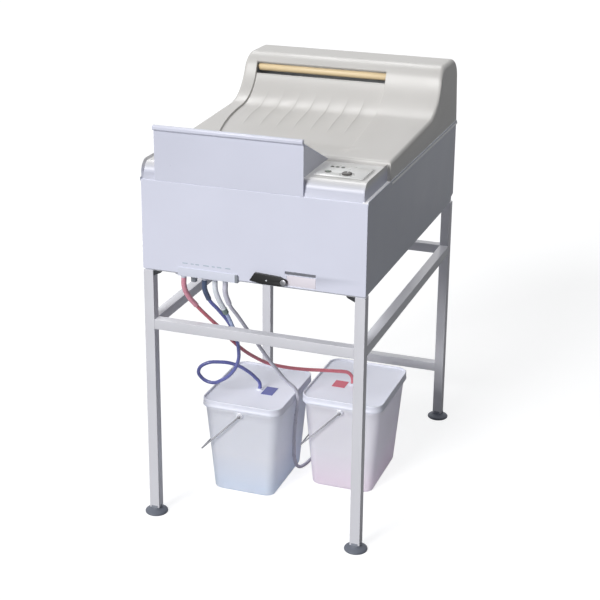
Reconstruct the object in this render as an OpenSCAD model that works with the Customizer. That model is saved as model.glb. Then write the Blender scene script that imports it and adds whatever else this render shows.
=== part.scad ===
// Roller film processor on a four-leg tube stand, with two lidded solution pails under it.
// Millimetres, +Z up, +X to the machine's right, the operator's side is -Y.
// The origin is on the floor, under the middle of the machine.

/* [Cabinet] */
// Width of the cabinet
body_w = 600; // [580:5:660]
// Depth of the cabinet, front to back
body_d = 880; // [870:5:920]
// Height of the side panels
panel_h = 239; // [232:1:282]
// Thickness of the cabinet panels
wall = 4; // [3:0.5:5]
// Height of the dark gap between the side panels and the base pan's underside
reveal_h = 4; // [2:1:8]
// Sheet thickness of the base pan
pan_t = 2; // [1.5:0.5:3]
// Height of the base pan's upturned flange
pan_flange_h = 18; // [10:1:30]
// Length cut off the side panels' rear lower corners
corner_cut = 95; // [60:5:110]

/* [Console] */
// Height of the console above the panels
console_h = 48; // [46:1:60]
// Depth of the console, front to back
console_d = 192; // [186:1:194]
// Radius of the console's rounded front edge
console_r = 30; // [26:1:45]
// How far the console stands in from the cabinet's faces
console_inset = 3; // [2:0.5:4]
// Height of the film feed channel below the console's top
feed_drop = 22; // [20:1:24]

/* [Film path] */
// Width of the exit slot and of the film recess below it
slot_w = 390; // [370:5:400]
// How far the film path's middle lies to the left of the cabinet's middle
film_shift = 63; // [55:1:70]
// Depth of the film recess in the cover
recess_depth = 4; // [2:0.5:5]
// Number of ribs in the film recess
rib_count = 7; // [3:1:9]
// Width of a rib
rib_w = 3; // [2:0.5:5]
// Height of a rib above the recess
rib_h = 2.5; // [1:0.5:3.5]
// Height of the exit slot
slot_h = 28; // [26:1:30]

/* [Cover] */
// Wall thickness of the cover
cover_t = 4; // [3:0.5:5]
// Height of the cover's front lip above the panels
lip_h = 53; // [50:1:58]
// Rise of the cover's gentle slope
slope_rise = 16; // [12:1:18]
// Distance from the cover's rear face to the foot of its steep front
tower_foot = 295; // [293:1:300]
// Radius of the hollow curve at the foot of the tower
hollow_r = 125; // [120:1:128]
// Steepest angle of the tower's front
steep_angle = 72; // [71:1:74]
// Radius of the tower's top front edge
brow_r = 54; // [50:1:56]
// Radius of the tower's upper side corners
shoulder_r = 18; // [14:2:44]
// How far the cover's sides lean in at the tower's top
side_lean = 8; // [0:1:12]

/* [Catch tray] */
// Width of the catch tray
tray_w = 397; // [392:1:410]
// Height of the tray's front plate above the panels
tray_h = 144; // [120:2:150]
// Thickness of the tray's plate and cheeks
tray_t = 3; // [2:0.5:4]
// Depth of the tray's floor
tray_d = 180; // [160:2:184]
// How far the lip stands forward of the plate
tray_lip = 9; // [6:1:10]
// Height of the rolled lip
tray_lip_h = 12; // [8:1:16]

/* [Stand] */
// Height of the stand, floor to the base pan
stand_h = 708; // [668:5:768]
// Width of the square tube
tube_w = 27; // [22:1:28]
// Wall thickness of the square tube
tube_t = 2; // [1.5:0.5:3]
// How far the legs' middles stand in from the cabinet's faces
leg_inset = 14; // [14:0.5:17]
// Height of the upper rails' middle
rail_z = 559; // [520:1:590]
// Height of the low rear rail's middle
low_rail_z = 173; // [120:1:220]
// Diameter of a levelling foot
foot_d = 62; // [50:1:66]
// Height of a levelling foot's pad
foot_h = 18; // [15:1:24]
// Diameter of a levelling foot's stem
foot_stem_d = 10; // [8:1:12]

/* [Tank and racks] */
// Width of the tank
tank_w = 446; // [444:1:450]
// Distance from the cabinet's front to the tank
tank_front = 215; // [212:1:220]
// Length of the three-part tank
tank_l = 485; // [480:1:490]
// Height of the tank
tank_h = 230; // [226:1:234]
// Wall thickness of the tank
tank_t = 5; // [4:0.5:6]
// Height of the tank's two partitions
partition_h = 170; // [142:1:172]
// Diameter of the film drums
drum_d = 116; // [100:1:120]
// Diameter of the drums' toothed wheels
gear_d = 92; // [80:1:94]
// Teeth on a drum's wheel
gear_teeth = 40; // [30:1:48]
// Thickness of the racks' side plates
rack_t = 4; // [3:0.5:5]
// Diameter of the drive shaft
drive_shaft_d = 8; // [6:0.5:9]
// Diameter of the worms on the drive shaft
worm_d = 16; // [14:1:18]

/* [Dryer and exit] */
// Diameter of the lower exit roller
exit_roller_d = 22; // [18:1:22]
// Diameter of the upper exit roller
nip_roller_d = 16; // [12:1:16]
// Diameter of the feed rollers
feed_roller_d = 16; // [12:1:16]
// Diameter of the blower wheel
blower_d = 90; // [70:2:92]
// Number of blades on the blower wheel
blade_count = 20; // [10:1:24]

/* [Controls] */
// Diameter of the rotary knob
knob_d = 25; // [20:1:32]
// Height of the rotary knob
knob_h = 5; // [4:0.5:14]
// Diameter of the push button
button_d = 11; // [8:1:14]
// Length of the drain lever from its pivot to its tip
lever_l = 91; // [70:1:95]
// Thickness of the drain lever
lever_t = 9; // [6:0.5:10]

/* [Pails] */
// Width of a pail's lid
lid_w = 236; // [226:1:238]
// Depth of a pail's lid, front to back
lid_d = 292; // [270:1:294]
// Overall height of a lidded pail
pail_h = 280; // [260:1:290]
// Width of a pail's bottom
pail_base_w = 178; // [160:1:190]
// Depth of a pail's bottom
pail_base_d = 245; // [220:1:260]
// Wall thickness of a pail
pail_t = 2.5; // [2:0.25:3]
// Diameter of the bail wire
bail_wire_d = 4; // [3:0.5:5]
// Length of a bail's arms
bail_l = 158; // [156:1:164]

/* [Hoses] */
// Outer diameter of the hoses
hose_d = 10; // [9:1:12]
// Distance between hose nipples
nipple_pitch = 29; // [26:1:32]

/* [Hidden] */

// Clearances
gap = 0.3;        // between pieces that part or move
run = 0.05;       // radial, shaft in bore
over = 1;         // how far a cut runs past the face it opens
arc_steps = 12;   // straight pieces in a profile's arc

// Cabinet places
half_w = body_w / 2;
half_d = body_d / 2;
front_y = -half_d;
panel_z0 = stand_h + reveal_h;
seam_z = panel_z0 + panel_h;
pan_top = stand_h + pan_t;
console_x = half_w - console_inset;
console_y0 = front_y + console_inset;
console_y1 = console_y0 + console_d;
console_z = seam_z + console_h;
deck_z = console_z - feed_drop;

// Film path places
film_x = -film_shift;
slot_x0 = film_x - slot_w / 2;
slot_x1 = film_x + slot_w / 2;
feed_margin = 4;
feed_x0 = slot_x0 + feed_margin;
feed_x1 = slot_x1 - feed_margin;

// Cover profile: tangent angles run from the slope, through the steep front, to the flat top
cover_z0 = seam_z + gap;
cover_y0 = console_y1 + 5;
cover_r = 8;
cover_rear_r = 44;
lip_z = seam_z + lip_h;
foot_y = half_d - tower_foot;
foot_z = lip_z + slope_rise;
slope_angle = atan(slope_rise / (foot_y - cover_y0 - cover_r));
hollow_c = [foot_y - hollow_r * sin(slope_angle), foot_z + hollow_r * cos(slope_angle)];
brow_start = hollow_c + hollow_r * [sin(steep_angle), -cos(steep_angle)];
brow_c = brow_start + brow_r * [sin(steep_angle), -cos(steep_angle)];
top_z = brow_c[1] + brow_r;

// Exit rollers, set back from the tower's face
exit_set_back = 22.5;
exit_drop = 3.5;
exit_c = [brow_start[0] + exit_set_back, brow_start[1] - exit_drop];
nip_angle = 38;
nip_c = exit_c + ((exit_roller_d + nip_roller_d) / 2 + gap) * [cos(nip_angle), sin(nip_angle)];
exit_shaft_d = 8;
slot_z1 = exit_c[1] + exit_roller_d / 2 + 5;
slot_z0 = slot_z1 - slot_h;
slot_reach = 34;

// Stand places
leg_x = half_w - leg_inset;
leg_y = half_d - leg_inset;
leg_z0 = foot_h + gap;
plug_h = 45;

// Tank places
tank_side = 10;
tank_x0 = -half_w + wall + tank_side;
tank_x1 = tank_x0 + tank_w;
tank_y0 = front_y + tank_front;
tank_y1 = tank_y0 + tank_l;
tank_top = pan_top + tank_h;
cell_l = (tank_l - 4 * tank_t) / 3;
function cell_y(i) = tank_y0 + tank_t + cell_l / 2 + i * (cell_l + tank_t);

// Racks, drums and the drive shaft along their right ends
rack_x0 = tank_x0 + tank_t + 11;
rack_x1 = tank_x1 - tank_t - 9;
rack_l = cell_l - 13;
drum_z = pan_top + 125;
drum_pin_d = 10;
drum_wall = 5;
gear_t = 8;
gear_x0 = rack_x1 - 12;
drum_x0 = rack_x0 + rack_t + 8;
drum_x1 = gear_x0 - 6;
shaft_x = gear_x0 + gear_t / 2;
shaft_z = drum_z + gear_d / 2 + 0.5 + worm_d / 2;
motor_y0 = tank_y1;
motor_box = 26;
motor_box_l = 20;
motor_case_d = 56;
motor_case_l = 46;
motor_y1 = motor_y0 + motor_box_l - 1 + motor_case_l;

// Feed rollers, in front of the tank and under the cover's lip
feed_y = cover_y0 + 22;
feed_z = deck_z + 1;
feed_pin_d = 6;
feed_roller_x0 = rack_x0 + rack_t + 12;
feed_roller_x1 = rack_x1 - 18;

// Dryer places
duct_y0 = nip_c[0] + 10;
duct_y1 = half_d - 30;
duct_x0 = slot_x0 - 4;
duct_x1 = slot_x1 + 4;
duct_z0 = seam_z + 4;
duct_z1 = exit_c[1] - 10;
blower_x0 = duct_x1 + 9;
blower_x1 = half_w - cover_t - 8;
blower_y = (duct_y0 + duct_y1) / 2 + 7;
blower_z = seam_z + 74;

// Front details, measured from the cabinet's middle
lever_x = 88;
lever_z = panel_z0 + 14;
lever_pin_d = 8;
plate_x0 = 94;
plate_w = 76;
plate_h = 27;
plate_z0 = panel_z0 + 4;
card_slot_h = 8;
manifold_x0 = -222;
manifold_x1 = -64;
manifold_back = 45;
manifold_y = front_y + manifold_back;
manifold_d = 34;
manifold_h = 12;
nipple_x0 = -206;
nipple_drop = 24;
nipple_z = stand_h - nipple_drop;
nipple_d = 14;
nipple_l = 14;
bracket_in = 20;
bracket_out = 27;
bracket_t = 1.5;
bracket_sole = 3;
bracket_rise = 16;
bracket_x0 = manifold_x0 + bracket_in;
bracket_x1 = manifold_x1 + bracket_out;
bracket_y = front_y - gap - bracket_t;

// Controls on the console's right top
control_x0 = 148;
control_w = 124;
control_y0 = front_y + 42;
control_l = 100;
control_t = 1.5;
knob_x = 224;
knob_y = front_y + 68;
button_x = 172;
button_y = front_y + 78;
lamp_x = [168, 182, 196];
lamp_y = front_y + 124;
lamp_d = 6;

// Control board, from the tank to the right panel
board_gap = 15;
board_back = 500;
board_l = 150;
board_part_h = 36;

// Circulation pumps
pump_base = 68;
pump_base_t = 5;
pump_body_d = 56;
pump_body_h = 68;
pump_head_d = 64;
pump_head_h = 26;
pump_head_z = 70;
pump_pipe_d = 12;
pump_pipe_z = 84;
pump_neck_h = 16;

// Pail places: middle of each lid
pail_left_x = -105;
pail_left_back = 316;
pail_left_c = [pail_left_x, front_y + pail_left_back];
pail_right_x = 146;
pail_right_back = 434;
pail_right_c = [pail_right_x, front_y + pail_right_back];
lid_h = 22;
lid_sink = 6;
lid_skirt = 4.5;
lid_r = 34;
pivot_z = pail_h - 35;
rim_w = lid_w - 2 * lid_skirt - 3;
rim_d = lid_d - 2 * lid_skirt - 3;
wall_top = pail_h - 12 - gap;
function wall_half(z) = (pail_base_d + (rim_d - pail_base_d) * z / wall_top) / 2;
ear_l = lid_d / 2 + gap - wall_half(pivot_z);
arm_y = lid_d / 2 + 2 * gap + bail_wire_d / 2;
grip_d = 17;
grip_collar_d = 20;
grip_l = 100;

// Angle below level at which a hanging bail's grip rests against the pail's sloping wall
wall_lean = (rim_w - pail_base_w) / 2 / wall_top;
bail_reach = pail_base_w / 2 + wall_lean * pivot_z + grip_collar_d / 2 + gap;
bail_angle = atan(wall_lean) + acos(bail_reach / bail_l / sqrt(1 + wall_lean * wall_lean));

// Places where hoses enter the lids
boss_h = 4;
boss_d = 18;
boss_z = pail_h - lid_sink + boss_h;
blue_end = [-94, -140];
red_end = [140, -14];

// Tags, from the middle of each lid
tag_t = 0.8;
blue_tag_x = 24;
blue_tag_y = -44;
blue_tag_w = 34;
blue_tag_l = 52;
red_tag_x = -58;
red_tag_y = -42;
red_tag_w = 38;
red_tag_l = 44;

// Hose routes, from the nipple down
red_route = [[nipple_x0, manifold_y, nipple_z], [-206, -395, 660], [-199, -388, 632],
    [-182, -372, 600], [-158, -350, 562], [-134, -320, 520], [-116, -286, 476],
    [-100, -250, 438], [-84, -210, 404], [-60, -165, 370], [-28, -120, 345], [14, -82, 329],
    [62, -50, 320], [96, -35, 317], [113, -27, 315], [127, -20, 311], [137, -15.5, 300],
    [red_end[0], red_end[1], boss_z + 8], [red_end[0], red_end[1], boss_z]];
blue_route = [[nipple_x0 + 2 * nipple_pitch, manifold_y, nipple_z], [-148, -395, 660],
    [-141, -385, 628], [-124, -362, 592], [-108, -334, 550], [-100, -304, 500],
    [-102, -278, 450], [-112, -258, 405], [-136, -242, 362], [-172, -228, 328],
    [-208, -222, 312], [-236, -226, 326], [-238, -236, 352], [-216, -236, 374],
    [-180, -222, 378], [-145, -198, 366], [-120, -174, 342], [-102, -153, 314],
    [blue_end[0], blue_end[1], boss_z + 14], [blue_end[0], blue_end[1], boss_z]];
lilac_route = [[nipple_x0 + 4 * nipple_pitch, manifold_y, nipple_z], [-90, -395, 655],
    [-84, -385, 622], [-72, -356, 580], [-60, -318, 528], [-48, -276, 474], [-36, -236, 420],
    [-20, -198, 368], [-2, -170, 326], [17, -153, 298], [20.5, -144, 272], [18, -140, 240],
    [11, -134, 195], [5, -126, 145], [1, -116, 95], [-2, -100, 50], [0, -72, 16],
    [6, -36, 6], [12, 10, 6], [20, 60, 6], [32, 110, 6], [46, 160, 6]];
overflow_route = [[nipple_x0 + 3 * nipple_pitch, manifold_y, nipple_z], [-118, -395, 660],
    [-111, -389, 632], [-101, -376, 600], [-92, -362, 568], [-85, -350, 536]];

// A box from its two opposite corners
module slab(a, b) {
    translate(a) cube(b - a);
}

// A cylinder along X, Y or Z from a start point
module rod_x(p, l, d, fn = 32) {
    translate(p) rotate([0, 90, 0]) cylinder(d = d, h = l, $fn = fn);
}
module rod_y(p, l, d, fn = 32) {
    translate(p) rotate([-90, 0, 0]) cylinder(d = d, h = l, $fn = fn);
}
module rod_z(p, l, d, fn = 32) {
    translate(p) cylinder(d = d, h = l, $fn = fn);
}

// A profile drawn in (y, z) and run along X
module along_x(points, x0, x1) {
    translate([x0, 0, 0]) rotate([90, 0, 90]) linear_extrude(x1 - x0) polygon(points);
}

// A profile drawn in (x, z) and run along Y
module along_y(points, y0, y1) {
    translate([0, y1, 0]) rotate([90, 0, 0]) linear_extrude(y1 - y0) polygon(points);
}

// Points of an arc about c, with the angle measured anticlockwise from the first axis
function arc(c, r, a0, a1) = [for (i = [0 : arc_steps])
    let (a = a0 + (a1 - a0) * i / arc_steps) c + r * [cos(a), sin(a)]];

// Stand

module square_tube_z(x, y, z0, z1) {
    translate([x, y, 0]) difference() {
        slab([-tube_w / 2, -tube_w / 2, z0], [tube_w / 2, tube_w / 2, z1]);
        slab([-tube_w / 2 + tube_t, -tube_w / 2 + tube_t, z0 + plug_h],
             [tube_w / 2 - tube_t, tube_w / 2 - tube_t, z1 - tube_t]);
        rod_z([0, 0, z0 - over], plug_h - tube_t + over, foot_stem_d + 2 * run);
    }
}

module stand_leg(sx, sy) {
    color([0.78, 0.78, 0.80]) square_tube_z(sx * leg_x, sy * leg_y, leg_z0, stand_h);
}
module leg_front_left() { stand_leg(-1, -1); }
module leg_front_right() { stand_leg(1, -1); }
module leg_rear_left() { stand_leg(-1, 1); }
module leg_rear_right() { stand_leg(1, 1); }

module cross_rail(y, z) {
    difference() {
        slab([-leg_x + tube_w / 2, y - tube_w / 2, z - tube_w / 2],
             [leg_x - tube_w / 2, y + tube_w / 2, z + tube_w / 2]);
        slab([-leg_x, y - tube_w / 2 + tube_t, z - tube_w / 2 + tube_t],
             [leg_x, y + tube_w / 2 - tube_t, z + tube_w / 2 - tube_t]);
    }
}

module front_rail() {
    color([0.78, 0.78, 0.80]) cross_rail(-leg_y, rail_z);
}

module rear_rails() {
    color([0.78, 0.78, 0.80]) {
        cross_rail(leg_y, rail_z);
        cross_rail(leg_y, low_rail_z);
    }
}

module side_rails() {
    color([0.78, 0.78, 0.80]) for (sx = [-1, 1]) difference() {
        slab([sx * leg_x - tube_w / 2, -leg_y + tube_w / 2, rail_z - tube_w / 2],
             [sx * leg_x + tube_w / 2, leg_y - tube_w / 2, rail_z + tube_w / 2]);
        slab([sx * leg_x - tube_w / 2 + tube_t, -leg_y, rail_z - tube_w / 2 + tube_t],
             [sx * leg_x + tube_w / 2 - tube_t, leg_y, rail_z + tube_w / 2 - tube_t]);
    }
}

// Levelling foot: a domed pad and the stem that turns in the leg's end plug
module levelling_foot(sx, sy) {
    rim_h = foot_h / 3;
    neck_d = tube_w + 4;
    color([0.25, 0.25, 0.27]) translate([sx * leg_x, sy * leg_y, 0]) {
        rotate_extrude($fn = 48) polygon(concat([[0, 0]],
            arc([foot_d / 2 - 2, 2], 2, -90, 0),
            [[foot_d / 2, rim_h], [neck_d / 2, foot_h], [0, foot_h]]));
        rod_z([0, 0, foot_h - over], plug_h - 10 + over, foot_stem_d);
    }
}
module foot_front_left() { levelling_foot(-1, -1); }
module foot_front_right() { levelling_foot(1, -1); }
module foot_rear_left() { levelling_foot(-1, 1); }
module foot_rear_right() { levelling_foot(1, 1); }

// Cabinet

module base_pan() {
    edge = wall + gap;
    color([0.45, 0.46, 0.48]) difference() {
        slab([-half_w + edge, front_y + edge, stand_h],
             [half_w - edge, half_d - edge, stand_h + pan_flange_h]);
        slab([-half_w + edge + pan_t, front_y + edge + pan_t, pan_top],
             [half_w - edge - pan_t, half_d - edge - pan_t, stand_h + pan_flange_h + over]);
    }
}

module front_panel() {
    color([0.85, 0.86, 0.92]) difference() {
        slab([-half_w, front_y, panel_z0], [half_w, front_y + wall, seam_z]);
        slab([plate_x0, front_y - over, plate_z0],
             [plate_x0 + plate_w, front_y + 1 + gap, plate_z0 + plate_h]);
        slab([plate_x0 - 5, front_y - over, plate_z0 + plate_h + 2],
             [plate_x0 + plate_w, front_y + wall + over, plate_z0 + plate_h + 2 + card_slot_h]);
        rod_y([lever_x, front_y - over, lever_z], wall + 2 * over, lever_pin_d + 2 * run);
    }
}

module service_plate() {
    color([0.88, 0.85, 0.88]) slab([plate_x0 + gap, front_y + gap, plate_z0 + gap],
        [plate_x0 + plate_w - gap, front_y + 1 + gap, plate_z0 + plate_h - gap]);
}

// Side panel, with its rear lower corner cut up and a trim along its top that stands a little higher
// than the seam, beside the cover and the console
trim_t = 2;
trim_h = 5;
module side_panel(sx) {
    x0 = sx > 0 ? half_w - wall : -half_w;
    cut_h = corner_cut / 5;
    color([0.80, 0.81, 0.84]) along_x([[front_y + wall, panel_z0],
        [half_d - corner_cut, panel_z0], [half_d - wall, panel_z0 + cut_h],
        [half_d - wall, seam_z], [front_y + wall, seam_z]], x0, x0 + wall);
    color([0.80, 0.81, 0.84]) for (in = [-1, gap]) {
        x1 = sx * (half_w + in);
        x2 = sx * (half_w + trim_t);
        slab([min(x1, x2), in < 0 ? front_y + wall : front_y, seam_z - trim_h],
             [max(x1, x2), in < 0 ? half_d - wall : half_d, in < 0 ? seam_z : seam_z + trim_h]);
    }
}
module left_panel() { side_panel(-1); }
module right_panel() { side_panel(1); }

louvre_n = 8;
louvre_pitch = 11;
inlet_x = 225;
inlet_z = panel_z0 + 52;
inlet_w = 30;
inlet_h = 22;
rear_z0 = panel_z0 + corner_cut / 5;

module rear_panel() {
    color([0.80, 0.81, 0.84]) difference() {
        slab([-half_w, half_d - wall, rear_z0], [half_w, half_d, seam_z]);
        for (i = [0 : louvre_n - 1])
            slab([-half_w + 180, half_d - wall - over, seam_z - 40 - i * louvre_pitch],
                 [half_w - 180, half_d + over, seam_z - 36 - i * louvre_pitch]);
        slab([inlet_x - inlet_w / 2 - gap, half_d - wall - over, inlet_z - inlet_h / 2 - gap],
             [inlet_x + inlet_w / 2 + gap, half_d + over, inlet_z + inlet_h / 2 + gap]);
    }
}

module rear_panel_screws() {
    color([0.7, 0.7, 0.72]) for (x = [-half_w + 12, 0, half_w - 12])
        for (z = [rear_z0 + 12, seam_z - 12]) rod_y([x, half_d, z], 2, 8);
}

module mains_inlet() {
    color([0.15, 0.15, 0.16]) difference() {
        union() {
            slab([inlet_x - inlet_w / 2, half_d - 24, inlet_z - inlet_h / 2],
                 [inlet_x + inlet_w / 2, half_d, inlet_z + inlet_h / 2]);
            slab([inlet_x - inlet_w / 2 - 10, half_d, inlet_z - inlet_h / 2 - 4],
                 [inlet_x + inlet_w / 2 + 10, half_d + 2.5, inlet_z + inlet_h / 2 + 4]);
        }
        difference() {
            slab([inlet_x - 12, half_d - 15, inlet_z - 8], [inlet_x + 12, half_d + 4, inlet_z + 8]);
            for (dx = [-7, 0, 7])
                slab([inlet_x + dx - 1, half_d - 16, inlet_z - 2 + (dx == 0 ? 2 : 0)],
                     [inlet_x + dx + 1, half_d - 2, inlet_z + 2 + (dx == 0 ? 2 : 0)]);
        }
    }
}

// Console: a rounded front bar across the machine, with the film feed channel let into it

function console_profile(t) = concat([[console_y0 + t, seam_z - (t > 0 ? over : 0)]],
    arc([console_y0 + console_r, console_z - console_r], console_r - t, 180, 90),
    [[console_y1 - t, console_z - t], [console_y1 - t, seam_z - (t > 0 ? over : 0)]]);

module console() {
    color([0.90, 0.90, 0.90]) difference() {
        along_x(console_profile(0), -console_x, console_x);
        along_x(console_profile(wall), -console_x + wall, feed_x0 - wall);
        along_x(console_profile(wall), feed_x1 + wall, console_x - wall);
        slab([feed_x0 - wall - over, console_y0 + wall, seam_z - over],
             [feed_x1 + wall + over, console_y1 - wall, deck_z - wall]);
        slab([feed_x0, console_y0 - over, deck_z], [feed_x1, console_y1 + over, console_z + over]);
        slab([control_x0 - gap, control_y0 - gap, console_z - control_t],
             [control_x0 + control_w + gap, control_y0 + control_l + gap, console_z + over]);
        rod_z([knob_x, knob_y, console_z - wall - over], wall + 2 * over, knob_d / 4 + 2 * run);
        rod_z([button_x, button_y, console_z - wall - over], wall + 2 * over, button_d + 2 * gap);
    }
}

module control_plate() {
    color([0.86, 0.87, 0.88]) difference() {
        slab([control_x0, control_y0, console_z - control_t],
             [control_x0 + control_w, control_y0 + control_l, console_z]);
        rod_z([knob_x, knob_y, console_z - wall], wall + over, knob_d / 4 + 2 * run);
        rod_z([button_x, button_y, console_z - wall], wall + over, button_d + 2 * gap);
    }
}

module indicator_lamps() {
    color([0.5, 0.75, 0.5]) for (x = lamp_x)
        translate([x, lamp_y, console_z]) cylinder(d1 = lamp_d, d2 = lamp_d - 2, h = 1.6, $fn = 24);
}

module temperature_knob() {
    stem_d = knob_d / 4;
    color([0.35, 0.37, 0.38]) difference() {
        union() {
            translate([knob_x, knob_y, console_z + gap])
                cylinder(d1 = knob_d, d2 = knob_d - 2, h = knob_h, $fn = 48);
            rod_z([knob_x, knob_y, console_z - wall - 3], wall + 4, stem_d);
        }
        slab([knob_x - 0.8, knob_y + 3, console_z + gap + knob_h - 1],
             [knob_x + 0.8, knob_y + knob_d, console_z + knob_h + over]);
    }
}

module standby_button() {
    color([0.3, 0.45, 0.35]) {
        rod_z([button_x, button_y, console_z - wall - 3], wall + 5, button_d);
        rod_z([button_x, button_y, console_z - wall - 3], 3 - gap, button_d + 5);
    }
}

// Drain lever on the front, swinging on a headed screw

module drain_lever() {
    boss = 16;
    tip_x = lever_x - lever_l;
    y0 = front_y - gap - lever_t;
    color([0.08, 0.08, 0.08]) difference() {
        union() {
            along_y([[tip_x, lever_z - 6], [tip_x + 14, lever_z + 16], [lever_x - 10, lever_z + 12],
                [lever_x + 2, lever_z + 7], [lever_x + 2, lever_z - 7], [lever_x - 8, lever_z - 12],
                [tip_x + 28, lever_z - 11]], y0, front_y - gap);
            rod_y([lever_x, y0, lever_z], lever_t, boss, 40);
        }
        rod_y([lever_x, y0 - over, lever_z], lever_t + 2 * over, lever_pin_d + 2 * run);
    }
}

module lever_pivot() {
    y0 = front_y - 2 * gap - lever_t;
    color([0.75, 0.75, 0.76]) {
        rod_y([lever_x, y0 - 3, lever_z], 3, 15);
        rod_y([lever_x, y0 - 1, lever_z], lever_t + wall + 1, lever_pin_d);
    }
}

// Hose manifold under the cabinet: a block, its front bracket and five nipples
module hose_manifold() {
    color([0.86, 0.88, 0.90]) {
        slab([manifold_x0, manifold_y - manifold_d / 2, stand_h - manifold_h],
             [manifold_x1, manifold_y + manifold_d / 2, stand_h]);
        slab([bracket_x0, bracket_y, stand_h - bracket_sole],
             [bracket_x1, manifold_y - manifold_d / 2 + over, stand_h]);
        slab([bracket_x0, bracket_y, stand_h - bracket_sole],
             [bracket_x1, front_y - gap, panel_z0 + bracket_rise]);
        for (i = [0 : 4])
            rod_z([nipple_x0 + i * nipple_pitch, manifold_y, nipple_z], nipple_l, nipple_d);
    }
}

// Hoses: one closed tube swept along its route, square to its first and last stretch

hose_sides = 8;
function unit(v) = v / norm(v);
function dir_at(r, i) = unit(i == 0 ? r[1] - r[0] : i == len(r) - 1 ? r[i] - r[i - 1]
    : unit(r[i + 1] - r[i]) + unit(r[i] - r[i - 1]));
function carried(r, i) = i == 0 ? [1, 0, 0]
    : let (u = carried(r, i - 1), d = dir_at(r, i)) unit(u - (u * d) * d);
function ring_points(r, i, d) =
    let (t = dir_at(r, i), u = carried(r, i), v = cross(t, u))
    [for (k = [0 : hose_sides - 1]) r[i] + d / 2 * (u * cos(360 * k / hose_sides)
        + v * sin(360 * k / hose_sides))];

module hose(route, d) {
    n = len(route);
    points = [for (i = [0 : n - 1]) each ring_points(route, i, d)];
    sides = [for (i = [0 : n - 2]) for (k = [0 : hose_sides - 1])
        let (a = i * hose_sides + k, b = i * hose_sides + (k + 1) % hose_sides)
        each [[a, a + hose_sides, b], [b, a + hose_sides, b + hose_sides]]];
    start = [for (k = [0 : hose_sides - 1]) k];
    end = [for (k = [hose_sides - 1 : -1 : 0]) (n - 1) * hose_sides + k];
    polyhedron(points, concat(sides, [start, end]), convexity = 8);
}

module red_hose() { color([0.80, 0.45, 0.50]) hose(red_route, hose_d); }
module blue_hose() { color([0.42, 0.45, 0.68]) hose(blue_route, hose_d); }
module lilac_hose() { color([0.78, 0.77, 0.86]) hose(lilac_route, hose_d); }
module overflow_hose() { color([0.70, 0.74, 0.86]) hose(overflow_route, hose_d); }

// Top cover. t is how deep the profile lies under the outer surface.

function cover_front(t) = [[cover_y0 + t, cover_z0 - (t > 0 ? over : 0)],
    each arc([cover_y0 + cover_r, lip_z - cover_r], cover_r - t, 180, 90 + slope_angle)];
function cover_hollow(t) = arc(hollow_c, hollow_r + t, slope_angle - 90, steep_angle - 90);
function cover_brow(t) = arc(brow_c, brow_r - t, 90 + steep_angle, 90);
function cover_rear(t) = [each arc([half_d - cover_rear_r, top_z - cover_rear_r],
    cover_rear_r - t, 90, 0), [half_d - t, cover_z0 - (t > 0 ? over : 0)]];
function cover_profile(t) = concat(cover_front(t), cover_hollow(t), cover_brow(t), cover_rear(t));

// The stretch of the profile that carries the film, as a band between two depths, and how far
// its backing inside the cover runs past the recess
recess_y0 = cover_y0 + 100;
recess_end = 180 - asin((slot_z1 - 4 - brow_c[1]) / brow_r);
backing_y = 12;
backing_turn = 15;
function slope_at(y, t) = [y, lip_z + (y - cover_y0 - cover_r) * tan(slope_angle)
    - t / cos(slope_angle)];
function reversed(p) = [for (i = [len(p) - 1 : -1 : 0]) p[i]];
function film_line(t, y0, turn) = concat([slope_at(y0, t)], cover_hollow(t),
    arc(brow_c, brow_r - t, 90 + steep_angle, turn));
function film_band(a, b, y0 = recess_y0, turn = recess_end) =
    concat(film_line(a, y0, turn), reversed(film_line(b, y0, turn)));

// Section across the tower, with its leaning sides and two rounded shoulders
module shouldered(x, z1, r, y0, y1) {
    lean = atan(side_lean / (top_z - seam_z));
    foot_x = x + 2 * over * tan(lean);
    centre_x = x - r * cos(lean) - (z1 - r + r * sin(lean) - seam_z) * tan(lean);
    along_y(concat([[-foot_x, seam_z - 2 * over], [foot_x, seam_z - 2 * over]],
        arc([centre_x, z1 - r], r, lean, 90), arc([-centre_x, z1 - r], r, 90, 180 - lean)), y0, y1);
}

module top_cover() {
    color([0.82, 0.81, 0.78]) {
        difference() {
            intersection() {
                along_x(cover_profile(0), -half_w - over, half_w + over);
                shouldered(half_w, top_z, shoulder_r, cover_y0 - over, half_d + over);
            }
            difference() {
                intersection() {
                    along_x(cover_profile(cover_t), -half_w, half_w);
                    shouldered(half_w - cover_t, top_z - cover_t, shoulder_r - cover_t,
                               cover_y0, half_d);
                }
                along_x(film_band(cover_t - 1, cover_t + recess_depth, recess_y0 - backing_y,
                                  recess_end - backing_turn),
                        slot_x0 - cover_t, slot_x1 + cover_t);
            }
            along_x(film_band(-over, recess_depth), slot_x0, slot_x1);
            slab([slot_x0, brow_start[0] - slot_reach, slot_z0], [slot_x1, exit_c[0] + 6, slot_z1]);
            slab([feed_x0, cover_y0 - over, deck_z - 1],
                 [feed_x1, cover_y0 + cover_t + over, deck_z + 11]);
        }
        film_ribs();
    }
}

module film_ribs() {
    pitch = slot_w / (rib_count + 1);
    line_top = brow_start[1] - 60;
    intersection() {
        for (i = [1 : rib_count])
            along_x(film_band(recess_depth - rib_h, recess_depth + 1),
                    slot_x0 + i * pitch - rib_w / 2, slot_x0 + i * pitch + rib_w / 2);
        slab([slot_x0, recess_y0 + 20, seam_z], [slot_x1, half_d, line_top]);
    }
}

// Catch tray: front plate with a rolled lip, two cheeks and a floor on the console

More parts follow.
